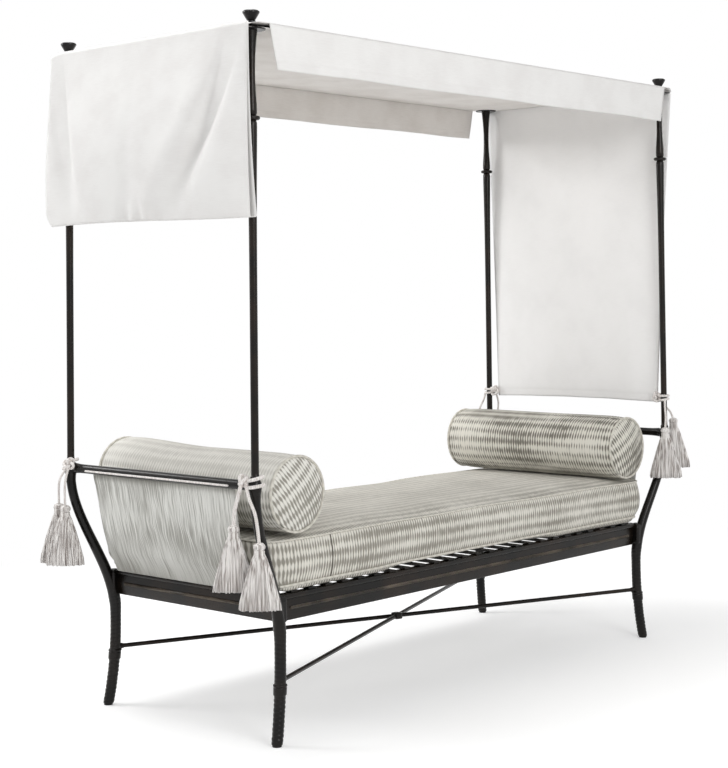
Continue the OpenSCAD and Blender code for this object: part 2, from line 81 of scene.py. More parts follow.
# %% [markdown]
# Every finish is a small web of shader nodes, and writing each node by hand would hide the
# pattern, so two helpers come first. The first is a Signal: it is one socket, and + - * on it
# add Math nodes, so that a pattern is written as a sum.

# %% Signals
class Signal:
    """One output socket of a finish; arithmetic on it adds Math nodes."""

    def __init__(self, finish, socket):
        self.finish, self.socket = finish, socket

    def math(self, operation, *others):
        """A Math node with this signal in its first socket and the others after it."""
        return self.finish.node("Math", {"operation": operation}, dict(enumerate((self, *others))))

    def __add__(self, other):
        return self.math("ADD", other)

    __radd__ = __add__

    def __sub__(self, other):
        return self.math("SUBTRACT", other)

    def __rsub__(self, other):
        return self.finish.node("Math", {"operation": "SUBTRACT"}, {0: other, 1: self})

    def __mul__(self, other):
        return self.math("MULTIPLY", other)

    __rmul__ = __mul__

    def sine(self):
        """Its sine: a wave between -1 and 1."""
        return self.math("SINE")

    def step(self, low, high):
        """0 below low, 1 above high and a smooth rise between them."""
        return self.finish.node(
            "MapRange", {"interpolation_type": "SMOOTHSTEP"},
            {"Value": self, "From Min": low, "From Max": high})


print("signals can be added, taken away, multiplied, waved and stepped")

# %% [markdown]
# The second helper is a Finish: a material together with one method that makes any node from
# its type, its settings and what goes into its sockets. Short methods on top of it name what
# these finishes need most: a place on the piece, a noise, a mix of two colours and a bump.

# %% Finishes
def tint(code):
    """Linear colour of a six-digit sRGB code."""
    srgb = [int(code[k:k + 2], 16) / 255 for k in (0, 2, 4)]
    return [c / 12.92 if c <= 0.04045 else ((c + 0.055) / 1.055) ** 2.4 for c in srgb] + [1.0]


class Finish:
    """A material, or the world if it is handed in, and the nodes that are added to it."""

    def __init__(self, name, world=None):
        self.material = world or bpy.data.materials.new(name)
        self.material.use_nodes = True
        self.tree = self.material.node_tree
        self.shader = self.tree.nodes.get("Principled BSDF")

    def node(self, kind, settings=(), values=(), output=0):
        """One new node: its settings first, then its sockets, and the signal it gives."""
        made = self.tree.nodes.new("ShaderNode" + kind)
        for key, value in dict(settings).items():
            setattr(made, key, value)
        for key, value in dict(values).items():
            self.feed(made.inputs[key], value)
        return Signal(self, made.outputs[output])

    def feed(self, socket, value):
        """Links a signal into a socket, or writes a plain value there."""
        if isinstance(value, Signal):
            self.tree.links.new(value.socket, socket)
        else:
            socket.default_value = value

    def times(self, vector, scale):
        """A vector times a scale for each axis."""
        return self.node("VectorMath", {"operation": "MULTIPLY"}, {0: vector, 1: scale})

    def place(self, scale=(1, 1, 1)):
        """Object coordinates times a scale for each axis."""
        return self.times(self.node("TexCoord", output="Object"), scale)

    def weave(self, scale=(1, 1, 1)):
        """The piece's own cloth map, in metres, times a scale for each axis."""
        return self.times(self.node("UVMap", {"uv_map": "cloth"}), scale)

    def parts(self, vector):
        """X, Y and Z of a vector."""
        made = self.node("SeparateXYZ", {}, {0: vector})
        return [Signal(self, s) for s in made.socket.node.outputs]

    def noise(self, vector, scale=1.0, detail=2.0):
        """Soft noise between 0 and 1 whose spots are about 1 / scale long."""
        return self.node("TexNoise", {}, {"Vector": vector, "Scale": scale, "Detail": detail})

    def mix(self, share, first, second):
        """The second colour where share is 1."""
        return self.node("Mix", {"data_type": "RGBA"}, {0: share, 6: first, 7: second}, 2)

    def bump(self, height, distance, strength):
        """A normal that tips as if the height, times the distance in metres, were real."""
        values = {"Height": height, "Distance": distance, "Strength": strength}
        return self.node("Bump", {}, values)

    def in_sight(self):
        """1 for a ray from the camera and for one that gloss or glass sends on, else 0."""
        rays = self.node("LightPath").socket.node.outputs
        kinds = "Is Camera Ray", "Is Glossy Ray", "Is Transmission Ray"
        eye, gloss, glass = (Signal(self, rays[kind]) for kind in kinds)
        return eye + gloss + glass

    def set(self, **values):
        """Feeds sockets of the main shader; an underscore stands for a space."""
        for key, value in values.items():
            self.feed(self.shader.inputs[key.replace("_", " ")], value)
        return self


print("a mid grey is", round(tint("808080")[0], 3), "in linear light")

# %% [markdown]
# The frame is cast and turned metal under a black-brown patina. A flat dark paint would look
# like plastic, so brown shows through in slow blotches, fine grains lift the surface and the
# gloss changes with them. The caps and finials have the same metal, darker.

# %% Metal finishes
def patina(name, dark, brown, rough, grain=420.0):
    """Dark metal: slow noise turns dark into brown, and fine noise lifts grains in it."""
    f = Finish(name)
    cloud = f.noise(f.place(), 9.0, 4.0)
    speck = f.noise(f.place(), grain, 3.0)
    share = (cloud * 0.7 + speck * 0.35).step(0.4, 0.72)
    f.set(
        Base_Color=f.mix(share, tint(dark), tint(brown)), Metallic=0.2, Specular_IOR_Level=0.28,
        Roughness=speck * 0.14 + cloud * 0.1 + rough,
        Normal=f.bump(speck + cloud * 0.5, 0.0009, 0.3))
    return f.material


frame_metal = patina("frame_metal", "0b0a08", "241a12", 0.12)
leg_metal = patina("cast_leg_metal", "0a0908", "191410", 0.12)
dark_metal = patina("dark_metal", "080808", "131110", 0.14)
# The beads have a lighter copy of the metal: partly rubbed bronze, partly a painted highlight along
# them.
bead_highlight_metal = patina("rubbed_bead_painted_highlight", "2e2923", "6a6054", 0.2)
glide_rubber = patina("glide_rubber", "0f0f0f", "1a1918", 0.55, 700.0)
print("metals", *(m.name for m in (frame_metal, leg_metal, dark_metal, bead_highlight_metal, glide_rubber)))

# %% [markdown]
# The canopy is a tight plain weave in off-white. At this distance the weave is felt more than
# seen, so two sine ribs across each other only make a bump, and a slow noise keeps the white
# from being one flat colour.

# %% Canopy cloth
RIB_PITCH = 0.0016


def wave(length, pitch):
    """A sine along a length in metres, once in each pitch."""
    return (length * (2 * math.pi / pitch)).sine()


def plain_weave(name, light, shade):
    """Off-white cloth: sine ribs both ways as relief, and slow noise between two whites."""
    f = Finish(name)
    u, v, _ = f.parts(f.weave())
    ribs = wave(u, RIB_PITCH) * 0.5 + wave(v, RIB_PITCH) * 0.5
    cloud = f.noise(f.weave(), 7.0, 3.0)
    slub = f.noise(f.weave((30, 420, 1)), 1.0, 2.0)
    f.set(
        Base_Color=f.mix((cloud * 0.7 + slub * 0.3).step(0.35, 0.7), tint(light), tint(shade)),
        Roughness=slub * 0.1 + 0.78, Specular_IOR_Level=0.25, Sheen_Weight=0.15,
        Normal=f.bump(ribs + slub * 1.6, 0.0006, 0.35))
    return f.material


canopy_cloth = plain_weave("canopy_cloth", "f4f3f1", "eceae8")
# A whiter copy of the canopy cloth for the right drop: painted light on a panel that lies in shade.
lit_drop_cloth = plain_weave("painted_light_drop_cloth", "fcfbfa", "f6f5f4")
lining_cloth = plain_weave("canopy_lining_cloth", "f2eeea", "e6e1dc")
print("canopy cloths", canopy_cloth.name, lit_drop_cloth.name, lining_cloth.name)

# %% [markdown]
# The cushions have a slubby cotton: short dark bars side by side in rows, none the same depth.
# A sine along the cloth gives the bars their pitch, noise that is long one way makes each bar
# thick or thin, and a second sine fades them out between the rows. Light and shade are painted
# into some copies: fewer bars on the tops, a paler and a darker bolster, a sling with dark ends.

# %% Cushion and sling cloth
FRONT_FACE = (-0.392, -0.382)
THREAD = 0.0021


def barred_cloth(name, light, dark, depth, pitch=0.0115, row=0.036, bar=0.46, slub=0.6, painted_end_shade=0.0,
                 painted_top_light=(2.0, 2.1, 0.0), patch=1.2):
    """Rows of dark bars: a sine across the cloth gives the bars, noise stretched to one bar's size
    makes each light or dark, and noise in long flat patches joins some of them to bands. The end
    shade darkens both ends of v as painted shade; the top light takes a share of the bars away above
    two heights, on all but the front face, as painted light on the tops."""
    f = Finish(name)
    u, v, _ = f.parts(f.weave())
    drift = f.noise(f.weave((3, 0.6 / row, 1)), 1.0, 1.0)
    own = f.noise(f.weave((1.1 / pitch, 0.9 / row, 1)), 1.0, 1.5)
    band = f.noise(f.weave((2.5, 0.8 / row, 1)), 1.0, 1.0)
    streak = f.noise(f.weave((380, 1.6 / row, 1)), 1.0, 2.0)
    cloud = f.noise(f.weave((4, 4, 1)), 1.0, 1.0)
    rows = (v * (2 * math.pi / row) + drift * 2.0).sine() * bar * 0.75
    bars = (u * (2 * math.pi / pitch) + drift * 4.0).sine() * bar
    total = bars + rows + own + band * 0.9 + streak * slub * 2 + (cloud - 0.5) * patch
    mask = total.step(0.5 + slub, 1.4 + slub) * depth
    # Painted light: above the two heights the tops lose a share of their bars, as if lit, except on the
    # front face.
    start, end, share = painted_top_light
    _, deep, high = f.parts(f.place())
    mask = mask * (1 - deep.step(*FRONT_FACE) * high.step(start, end) * share)
    # Painted shade: both ends of v are darkened, as under the rail and down by the seat.
    low = (v.step(0.18, 0.42) + (1 - v.step(0.004, 0.03)) * 0.8) * painted_end_shade
    thread = wave(v, THREAD) * 0.25 + wave(u, THREAD) * 0.25
    cloth = f.mix(mask, tint(light), tint(dark))
    f.set(
        Base_Color=f.mix(low, cloth, tint(dark)), Roughness=streak * 0.12 + 0.78,
        Specular_IOR_Level=0.2, Sheen_Weight=0.1,
        Normal=f.bump(thread + streak * 1.2 - mask * 0.5, 0.0009, 0.4))
    return f.material


# The cushion's top loses some of its bars as painted light.
cushion_cloth = barred_cloth("cushion_cloth", "e2dfd6", "8f8b81", 0.95, painted_top_light=(0.59, 0.62, 0.45))
# The bolsters have lit and shaded copies: the right one's darker dark is painted shade, and the left
# one's paler colours and fewer bars on top are painted light.
bolster_cloth = barred_cloth("bolster_cloth", "e0ddd3", "77736a", 0.98, patch=2.2)
lit_bolster_cloth = barred_cloth("painted_light_bolster_cloth", "e9e7e0", "8f8b81", 0.95, painted_top_light=(0.66, 0.80, 0.65))
# The sling's copy darkens its top under the rail and its foot by the seat, as painted shade.
sling_cloth = barred_cloth("sling_cloth", "e6e6e1", "77746b", 0.75, 0.0065, 0.20, 0.05, 1.2, 0.55)
piping_cloth = barred_cloth("piping_cloth", "dedbd1", "b5b0a5", 0.5, 0.03, 0.03)
# Dark cloth for the upright seam of the cushion's band: painted shadow in the seam.
seam_shadow_cloth = barred_cloth("seam_shadow_cloth", "6b675e", "4a463f", 0.5, 0.03, 0.03)
print("cushion cloths", *(m.name for m in (cushion_cloth, bolster_cloth, lit_bolster_cloth, sling_cloth)))

# %% [markdown]
# Ties and tassels are warm white cotton. The rope's own strands are real shapes, so its finish
# only adds the twist of the yarns. A tassel's yarns hang straight, so its shade runs down them.

# %% Rope and yarn
def yarn(name, light, shade, twist, fine):
    """Soft cotton: a slanted sine along and round each strand marks its twist, and noise drawn out
    along Z marks the hanging yarns."""
    f = Finish(name)
    u, v, _ = f.parts(f.weave())
    ply = (u * twist + v * twist * 0.6).sine() * 0.5 + 0.5
    fluff = f.noise(f.place((1, 1, 0.03)), fine, 3.0)
    f.set(
        Base_Color=f.mix((ply * 0.15 + fluff * 0.85).step(0.33, 0.6), tint(shade), tint(light)),
        Roughness=fluff * 0.1 + 0.82, Specular_IOR_Level=0.15, Sheen_Weight=0.15,
        Normal=f.bump(ply * 0.5 + fluff * 2, 0.0009, 0.7))
    return f.material


rope_cotton = yarn("rope_cotton", "f7f4f1", "cdc4bf", 1500.0, 400.0)
tassel_cotton = yarn("tassel_cotton", "f3f0ed", "968c87", 0.0, 200.0)
print("cottons", rope_cotton.name, tassel_cotton.name)

# %% [markdown]
# Nearly every piece here is a grid: a line of rings for a bar, or rows of points for a cloth.
# One function turns such a grid into faces with a cloth map in metres. The map lets a pattern
# follow the cloth, where object coordinates would cut straight through its folds.

# %% Grids
def grid(points, size=(1.0, 1.0), ring=False, ends=False):
    """Quads over points[along, across], mapped from 0 to size. ring joins the last column to the
    first, and ends closes both ends of such a tube with one flat face each."""
    n, m = points.shape[:2]
    columns = m if ring else m - 1
    i, j = (a.ravel() for a in np.meshgrid(np.arange(n - 1), np.arange(columns), indexing="ij"))
    k = (j + 1) % m
    faces = np.stack([i * m + j, i * m + k, (i + 1) * m + k, (i + 1) * m + j], 1).tolist()
    flat = np.array(size) / (n - 1, columns)
    cell = (i, j), (i, j + 1), (i + 1, j + 1), (i + 1, j)
    maps = (np.stack([np.stack(p, 1) for p in cell], 1) * flat).reshape(-1, 2)
    if ends:
        around = np.arange(m)
        faces += [around[::-1].tolist(), ((n - 1) * m + around).tolist()]
        across = around[:, None] * (0, flat[1])
        maps = np.concatenate([maps, across[::-1], across + (size[0], 0)])
    return points.reshape(-1, 3), faces, maps


def closed_grid(rings, size):
    """A grid of rings with both ends closed."""
    return grid(rings, size, ring=True, ends=True)


print("grid of 2 by 3 points has", len(grid(np.zeros((2, 3, 3)))[1]), "faces")

# %% [markdown]
# A real piece is often several shapes in one, as a leg is a bar, a block and two bosses. So one
# function joins shapes into a mesh, turns its faces outwards, gives it its finish and lets it
# ride on the body that it moves with.

# %% Pieces
def piece(name, shapes, finish, body="frame", stands_for=(), closed=True, crisp=40):
    """A mesh object of several shapes at the origin, with its finish and body. Edges
    sharper than crisp degrees stay sharp."""
    points, faces, maps, start = [], [], [], 0
    for shape_points, shape_faces, shape_maps in shapes:
        points.append(shape_points)
        faces += [[start + c for c in face] for face in shape_faces]
        maps.append(shape_maps)
        start += len(shape_points)
    mesh = bpy.data.meshes.new(name)
    mesh.from_pydata(np.concatenate(points).tolist(), [], faces)
    cloth_map = mesh.uv_layers.new(name="cloth")
    cloth_map.data.foreach_set("uv", np.concatenate(maps).astype(np.float32).ravel())
    mesh.polygons.foreach_set("use_smooth", np.ones(len(mesh.polygons), bool))
    if closed:
        work = bmesh.new()
        work.from_mesh(mesh)
        bmesh.ops.recalc_face_normals(work, faces=work.faces)
        work.to_mesh(mesh)
        work.free()
    if crisp:
        mesh.set_sharp_from_angle(angle=math.radians(crisp))
    mesh.materials.append(finish)
    made = bpy.data.objects.new(name, mesh)
    bpy.context.scene.collection.objects.link(made)
    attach(made, body)
    if stands_for:
        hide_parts(*stands_for)
    return made


# %% [markdown]
# A bar, a rope and a bead are all a ring of points carried along a line. Each ring must stand
# square to the line, so its two axes come from the line's direction and one fixed direction
# that the line never runs along.

# %% Rings carried along a line
def carry(line, across):
    """Unit directions square to a line at each point: the first is square to across as well."""
    ahead = np.gradient(line, axis=0)
    ahead /= np.linalg.norm(ahead, axis=1, keepdims=True)
    side = np.cross(ahead, across)
    side /= np.linalg.norm(side, axis=1, keepdims=True)
    return side, np.cross(ahead, side)


def sweep(line, ring, across):
    """Points line + ring's first number times side + its second times lift, for each ring point."""
    side, lift = carry(line, across)
    ring = np.broadcast_to(ring, (len(line),) + np.shape(ring)[-2:])
    return line[:, None] + ring[..., :1] * side[:, None] + ring[..., 1:] * lift[:, None]


def angles(sides):
    """Evenly spaced angles once round, without the last one, which is the first again."""
    return np.linspace(0, 2 * np.pi, sides, endpoint=False)


def circle(sides):
    """Points on the unit circle."""
    return np.stack([np.cos(angles(sides)), np.sin(angles(sides))], 1)


def run(line):
    """Distance along a line at each of its points."""
    return np.concatenate([[0], np.cumsum(np.linalg.norm(np.diff(line, axis=0), axis=1))])


def even(line, count):
    """The same line with evenly spaced points."""
    far = run(line)
    at = np.linspace(0, far[-1], count)
    return np.stack([np.interp(at, far, line[:, k]) for k in range(3)], 1)


half = np.pad(circle(16)[:9], ((0, 0), (0, 1)))
print("half a circle of 16 sides is", round(float(run(half)[-1]), 3), "long")

# %% [markdown]
# The round bar is the simplest thing to carry along a line, and a rope is three of them. Real
# strands catch the light and the shade between them, which a bump on one bar would not.

# %% Bars and ropes
def tube(line, radius, across, sides=8):
    """A closed round bar along a line; radius is one number or one for each point."""
    radii = np.broadcast_to(radius, len(line))[:, None, None]
    rings = sweep(line, circle(sides) * radii, across)
    return closed_grid(rings, (run(line)[-1], 2 * np.pi * float(np.max(radius))))


def rope(line, radius, across, lay=0.017, steps=7):
    """Three strands round a line: each strand's middle circles it at half the rope's radius, once
    in each lay length, a third of a turn behind the strand before."""
    line = even(line, max(9, int(run(line)[-1] / lay * steps)))
    side, lift = carry(line, across)
    strands = []
    for third in range(3):
        turn = 2 * np.pi * (run(line) / lay + third / 3)[:, None]
        middle = line + 0.5 * radius * (np.cos(turn) * side + np.sin(turn) * lift)
        strands.append(tube(middle, 0.53 * radius, across, 6))
    return strands


sample = rope(np.linspace((0, 0, 0), (0, 0, 0.1), 9), 0.004, (0, 1, 0))
print("a rope 0.1 long has", sum(len(strand[1]) for strand in sample), "faces")

# %% [markdown]
# The cords come first, because how far they hang is the one thing that the model must allow for.
# Each leaves its knot, bends over the arm under its own weight and hangs down into its tassel.
# Four chosen points give each route, and a smooth curve through them gives the line.

# %% Cord routes
KNOT_ROUTES = {
    "front_left_cord_a": [
        (-1.127, -0.398, 0.784), (-1.134, -0.388, 0.74), (-1.134, -0.374, 0.7), (-1.132, -0.367, 0.656)],
    "front_left_cord_b": [
        (-1.122, -0.407, 0.784), (-1.13, -0.43, 0.74), (-1.124, -0.45, 0.69), (-1.118, -0.458, 0.612)],
    "back_left_cord_a": [
        (-1.127, 0.398, 0.784), (-1.131, 0.412, 0.740), (-1.126, 0.424, 0.700), (-1.122, 0.427, 0.650)],
    "back_left_cord_b": [
        (-1.122, 0.407, 0.784), (-1.134, 0.436, 0.740), (-1.119, 0.464, 0.700), (-1.103, 0.484, 0.650)],
    "front_right_cord_a": [
        (1.088, -0.436, 0.902), (1.080, -0.442, 0.870), (1.063, -0.455, 0.835), (1.050, -0.460, 0.792)],
    "front_right_cord_b": [
        (1.114, -0.402, 0.896), (1.129, -0.411, 0.872), (1.142, -0.426, 0.850), (1.146, -0.437, 0.822)],
    "back_right_cord_a": [
        (1.114, 0.402, 0.896), (1.130, 0.404, 0.868), (1.140, 0.410, 0.842), (1.142, 0.416, 0.812)],
    "back_right_cord_b": [
        (1.092, 0.439, 0.902), (1.088, 0.447, 0.870), (1.080, 0.461, 0.835), (1.075, 0.470, 0.792)],
}
CORD_THICK = {"front_left_cord_a": 0.0125, "front_left_cord_b": 0.0105}
USUAL_THICK = 0.0085


def smooth_route(stops, steps):
    """The smooth line through the stops, each span a cubic with the slopes of its neighbours."""
    p = np.array([stops[0], *stops, stops[-1]])
    t = np.linspace(0, 1, steps, endpoint=False)[:, None]
    a, b, c, d = (p[k:len(p) - 3 + k, None] for k in range(4))
    bend, twist = 2 * a - 5 * b + 4 * c - d, 3 * b - a - 3 * c + d
    spans = 0.5 * (2 * b + (c - a) * t + bend * t**2 + twist * t**3)
    return np.concatenate([spans.reshape(-1, 3), p[-1:]])


print(len(KNOT_ROUTES), "cord routes")

# %% [markdown]
# A tassel is a hank of yarn folded over a cord, bound round the neck and cut off level. Its head
# is a ridged ball over a few turns of binding. A turned shape with ridges makes the ball, and a
# thin round bar that winds down makes the binding.

# %% Tassel heads
NECK_R = 0.0135


def spun(profile, top, sides, ridges=0, ridge=0.0, turn=0.0):
    """A closed turned shape below top: each (height, radius) makes a ring, and ridges lift it."""
    height, radius = np.array(profile)[:, :1], np.array(profile)[:, 1:]
    angle = angles(sides)
    radius = radius * (1 + ridge * np.abs(np.cos(ridges * angle / 2 + turn * height)))
    level = np.broadcast_to(height, radius.shape)
    rings = np.stack([radius * np.cos(angle), radius * np.sin(angle), level], 2)
    return closed_grid(rings + top, (abs(np.ptp(height)), 0.06))


def tassel_head(top):
    """A ridged ball 25 mm high over three turns of binding."""
    drop = np.linspace(0, np.pi, 14)
    ball = np.stack([-0.002 - 0.0125 * (1 - np.cos(drop)), 0.003 + NECK_R * np.sin(drop)], 1)
    around = np.linspace(0, 6 * np.pi, 90)
    level = -0.0235 - 0.0042 * around / (2 * np.pi)
    binding = np.stack([NECK_R * np.cos(around), NECK_R * np.sin(around), level], 1)
    return [spun(ball, top, 52, 26, 0.07, 500.0), tube(binding + top, 0.0026, (0, 0, 1), 7)]


print("tassel head with 26 ridges")

# %% [markdown]
# The skirt of a tassel is many strands that spread from the neck, each with a sway of its own.
# A solid core lies behind them, so that no daylight shows between. The skirt is round at the
# neck and flat at the hem, as if smoothed by hand, and every skirt faces the same way.

# %% Tassel skirts
SKIRT_TURN = math.radians(-48)
SKIRT_LONG = 0.195
dice = np.random.default_rng(58)


def turned(x, y, angle):
    """x and y turned by an angle about the upright."""
    return x * math.cos(angle) - y * math.sin(angle), x * math.sin(angle) + y * math.cos(angle)


def skirt_outline(hem):
    """Heights below the tassel's top, the half width there, and the depth as a share of it."""
    down = np.array([-0.026, -0.032, -0.049, -0.088, -0.1365, -0.185, -SKIRT_LONG])
    spread = np.clip((-down / SKIRT_LONG - 0.16) / 0.79, 0, 1) ** 0.8
    wide = np.maximum(0.013 + (hem - 0.013) * spread, (0.0105, 0.0128, 0, 0, 0, 0, 0))
    wide[0] = 0.0105
    wide[-1] = hem - 0.0015
    return down, wide, 0.42 + 0.58 * ((1 + down / SKIRT_LONG) / 0.87) ** 2


def tassel_skirt(top, hem, strands):
    """Strands that start round the neck and spread to a flattened hem: each follows the skirt's
    outline at its own angle, with a small sway of its own. The core fills the same outline."""
    down, wide, flat = skirt_outline(hem)
    neck, skirt = np.linspace(0.026, 0.05, 4, endpoint=False), np.linspace(0.05, 0.192, 8)
    height = -np.concatenate([neck, skirt])
    grow = np.linspace(0, 1, len(height))
    radius, depth = np.interp(-height, -down, wide), np.interp(-height, -down, flat)
    share = (np.arange(strands) + dice.uniform(-0.3, 0.3, strands)) / strands
    angle = 2 * np.pi * share[:, None] + dice.normal(0, 0.03, (strands, 1)) * grow ** 2
    inner = dice.uniform(0.82, 1.0, (strands, 1))
    lock = 0.045 * np.sin(13 * angle + dice.uniform(0, 6.28)) * grow
    x, y = radius * (inner + lock) * np.cos(angle), radius * depth * (inner + lock) * np.sin(angle)
    z = np.broadcast_to(height, x.shape) * (1 + dice.uniform(-0.025, 0.012, (strands, 1)) * grow)
    lines = np.stack([*turned(x, y, SKIRT_TURN), z], 2) + top
    thick = np.linspace(0.0010, 0.0021, len(height))
    facing = angle[:, 0] + SKIRT_TURN + 0.4
    made = [tube(line, thick, (-math.sin(a), math.cos(a), 0.02), 4) for line, a in zip(lines, facing)]
    ring = circle(40)
    x, y = ring[:, 0] * wide[:, None] * 0.84, ring[:, 1] * (wide * flat)[:, None] * 0.84
    z = np.broadcast_to(down[:, None] * 0.985, x.shape)
    core = np.stack([*turned(x, y, SKIRT_TURN), z], 2)
    return made + [closed_grid(core + top, (0.17, 0.2))]


print("tassel skirt", SKIRT_LONG, "long")

# %% [markdown]
# Now the cords and tassels go to their places. Each tassel's top lies a little above the end of
# its cord, so that the cord runs into the ball. The back right pair hangs in a narrow place
# behind the bolster, and its skirts are slimmer.

# %% Cords and tassels in place
for cord_name, stops in KNOT_ROUTES.items():
    tassel_name = cord_name.replace("cord", "tassel")
    thick = CORD_THICK.get(cord_name, USUAL_THICK)
    line = smooth_route(stops, 8)
    top = np.array(stops[-1]) + (0, 0, 0.006)
    cord = piece(cord_name, rope(line, thick / 2, (0, 1, 0)), rope_cotton,
                 stands_for=[cord_name])
    head = piece(tassel_name + "_head", tassel_head(top), tassel_cotton)
    hem, strands = (0.043, 150) if "back_right" in tassel_name else (0.061, 210)
    piece(tassel_name, tassel_skirt(top, hem, strands), tassel_cotton,
          stands_for=[tassel_name], crisp=0)

# %% [markdown]
# On the left the rope goes once round the foot of the post and then down and round the knob of
# the arm. On the right two turns hold the drawn-in hem of the cloth against the post. A knot on
# each is a rope wound on itself: a line that circles a small ring three times while it goes
# round it twice.

# %% Turns and knots
POST_X, POST_Y, ARM_Z = 1.1, 0.425, 0.772
ROPE_R, NEAR_ROPE_R = 0.005, 0.0058
FOOT_TURN_Z = 0.7935


def at_corner(points, sx, sy):
    """Moves a shape made round the origin to the post whose signs are given."""
    return points * (sx, sy, 1) + (sx * POST_X, sy * POST_Y, 0)


def knot(size):
    """A line round the origin that winds three times round a ring while it runs round it twice."""
    t = np.linspace(0, 2 * np.pi, 120)
    reach = 0.0068 + 0.0042 * np.cos(3 * t)
    line = size * np.stack([reach * np.cos(2 * t), 0.0072 * np.sin(3 * t), reach * np.sin(2 * t)], 1)
    return line @ np.array([[0.74, 0.67, 0], [-0.67, 0.74, 0], [0, 0, 1]])


def post_turn(radius, height, start, degrees, rise=0.0):
    """Part of a turn about the post from a start angle, rising evenly by rise."""
    angle = np.radians(start + np.linspace(0, degrees, 60))
    level = height + rise * np.linspace(0, 1, 60)
    return np.stack([radius * np.cos(angle), radius * np.sin(angle), level], 1)


print("a knot takes", round(float(run(knot(1.0))[-1]), 3), "of rope")

# %% [markdown]
# A tie puts these together. Its turns lean a little, as rope that is pulled down on one side
# does. The right ties have a second, looser knot beside the first, for a bow, and the rope of
# the front left one is thicker, like the cords that hang from it.

# %% Ties
def tie(name, sx, sy):
    """All the rope of one tie: two turns, each with how far it leans, and one or two knots, each
    with its place, thickness, size and number of sides. A lean lifts the turn's outer side."""
    radius = NEAR_ROPE_R if name == "front_left_tie" else ROPE_R
    if sx < 0:
        hang = post_turn(0.0240, ARM_Z, -43, 263)
        down = np.linspace((hang[0, 0], hang[0, 1], FOOT_TURN_Z), hang[0], 6)[:-1]
        turns = [(post_turn(0.0220, FOOT_TURN_Z, -60, 392), 0.005, (0, 0, 1)),
                 (np.concatenate([down, hang]), 0.003, (0.3, 0.2, 1))]
        knots = [((0.0245, -0.0235, 0.788), 0.0050, 1.5, 10)]
    else:
        turns = [(post_turn(0.0172, 0.8995, -70, 390), 0.003, (0, 0, 1)),
                 (post_turn(0.0176, 0.9145, -80, 392, -0.001), 0.0, (0, 0, 1))]
        knots = [((0.012, -0.0245, 0.906), 0.0044, 1.25, 10),
                 ((-0.002, -0.0275, 0.909), 0.0042, 1.75, 8)]
    shapes = []
    for line, lean, across in turns:
        held = at_corner(line, sx, sy)
        held[:, 2] += lean * (held[:, 0] - sx * POST_X - held[:, 1] + sy * POST_Y) / 0.030
        shapes += rope(held, radius, across, 0.02)
    for place, thick, size, sides in knots:
        wound = knot(size)
        shapes.append(tube(at_corner(wound + place, sx, sy), thick, wound * (sx, sy, 1), sides))
    return piece(name, shapes, rope_cotton, stands_for=[name])


CORNERS = {"front_left": (-1, -1), "back_left": (-1, 1), "front_right": (1, -1), "back_right": (1, 1)}
for where, signs in CORNERS.items():
    print("tie", tie(where + "_tie", *signs).name)

# %% [markdown]
# Each leg is one casting with the arm above it: it kicks out a little at the foot, stands
# upright to the seat and then sweeps out to carry the arm rail. Its lower part is cast to look
# as if cord were wound round it. Level rings follow the sweep, and a wave that climbs a full
# pitch in each turn lifts them into winding ridges, strong near the foot and faint on the arm.

# %% The leg's sweep and its winding
LEG_X, LEG_Y = 0.958, 0.37814
OUTWARD = 0.33
ALONG = np.array([1, OUTWARD, 0]) / math.hypot(1, OUTWARD)
SIDEWAYS = np.array([-ALONG[1], ALONG[0], 0])
WIND_PITCH = 0.0135
LEG_RINGS = np.array([
    (4, 15), (6, 16.2), (10, 17), (73.6, 17), (140, 17), (144, 18.4), (147, 20.2), (166, 20.5),
    (168.5, 19.2), (170, 20.6), (171.5, 21.4), (174.5, 21.4), (176, 19.8), (178, 17.6),
    (224, 17.3), (294, 17.5), (340, 19.3), (380, 18.5), (440, 17), (515, 16), (590, 15.4),
    (670, 15), (730, 15.1), (748, 16.6), (756, 18.4), (765, 19.2), (776, 19.2), (782, 18.2),
    (787, 16.2), (790, 13.6)]) / 1000
RIDGE_HEIGHTS = np.array([
    (6, 0.2), (20, 1.5), (136, 1.5), (142, 0.2), (180, 0.2), (190, 0.75), (330, 0.6), (360, 0.35),
    (740, 0.2)]) / 1000


def ease(share):
    """Smooth rise from 0 to 1."""
    s = np.clip(share, 0, 1)
    return s * s * (3 - 2 * s)


def leg_middle(z):
    """Middle of the back right leg at each height: the arm's sweep plus the kick of the foot."""
    out = 0.142 * ease((z - 0.300) / 0.450) + 0.026 * np.maximum(0, 1 - z / 0.260) ** 2
    return np.stack([LEG_X + out, LEG_Y + OUTWARD * out, z], 1)


def leg_bar():
    """Rings at rising heights, widened where the leg leans and lifted into winding ridges."""
    below, above = np.arange(0.004, 0.352, 0.00225), np.arange(0.352, 0.79, 0.006)
    z = np.unique(np.concatenate([below, above, LEG_RINGS[:, 0]]).round(4))
    sides = 36
    angle = angles(sides)
    radius, lift = np.interp(z, *LEG_RINGS.T), np.interp(z, *RIDGE_HEIGHTS.T)
    wave_up = np.abs(np.sin(np.pi * (z[:, None] / WIND_PITCH + angle / (2 * np.pi)))) ** 0.7
    sixth = np.arange(len(z)) // 6
    rough = dice.uniform(0.6, 1.25, (len(z) // 6 + 2, sides))[sixth]
    r = radius[:, None] + lift[:, None] * (wave_up * rough - 0.5)
    slope = np.linalg.norm(np.gradient(leg_middle(z), z, axis=0), axis=1)[:, None]
    out = (r * slope * np.cos(angle))[..., None] * ALONG + (r * np.sin(angle))[..., None] * SIDEWAYS
    return closed_grid(leg_middle(z)[:, None] + out, (0.786, 0.11))


print("the arm sweeps out by", round(leg_middle(np.array([0.75]))[0, 0] - LEG_X, 3))

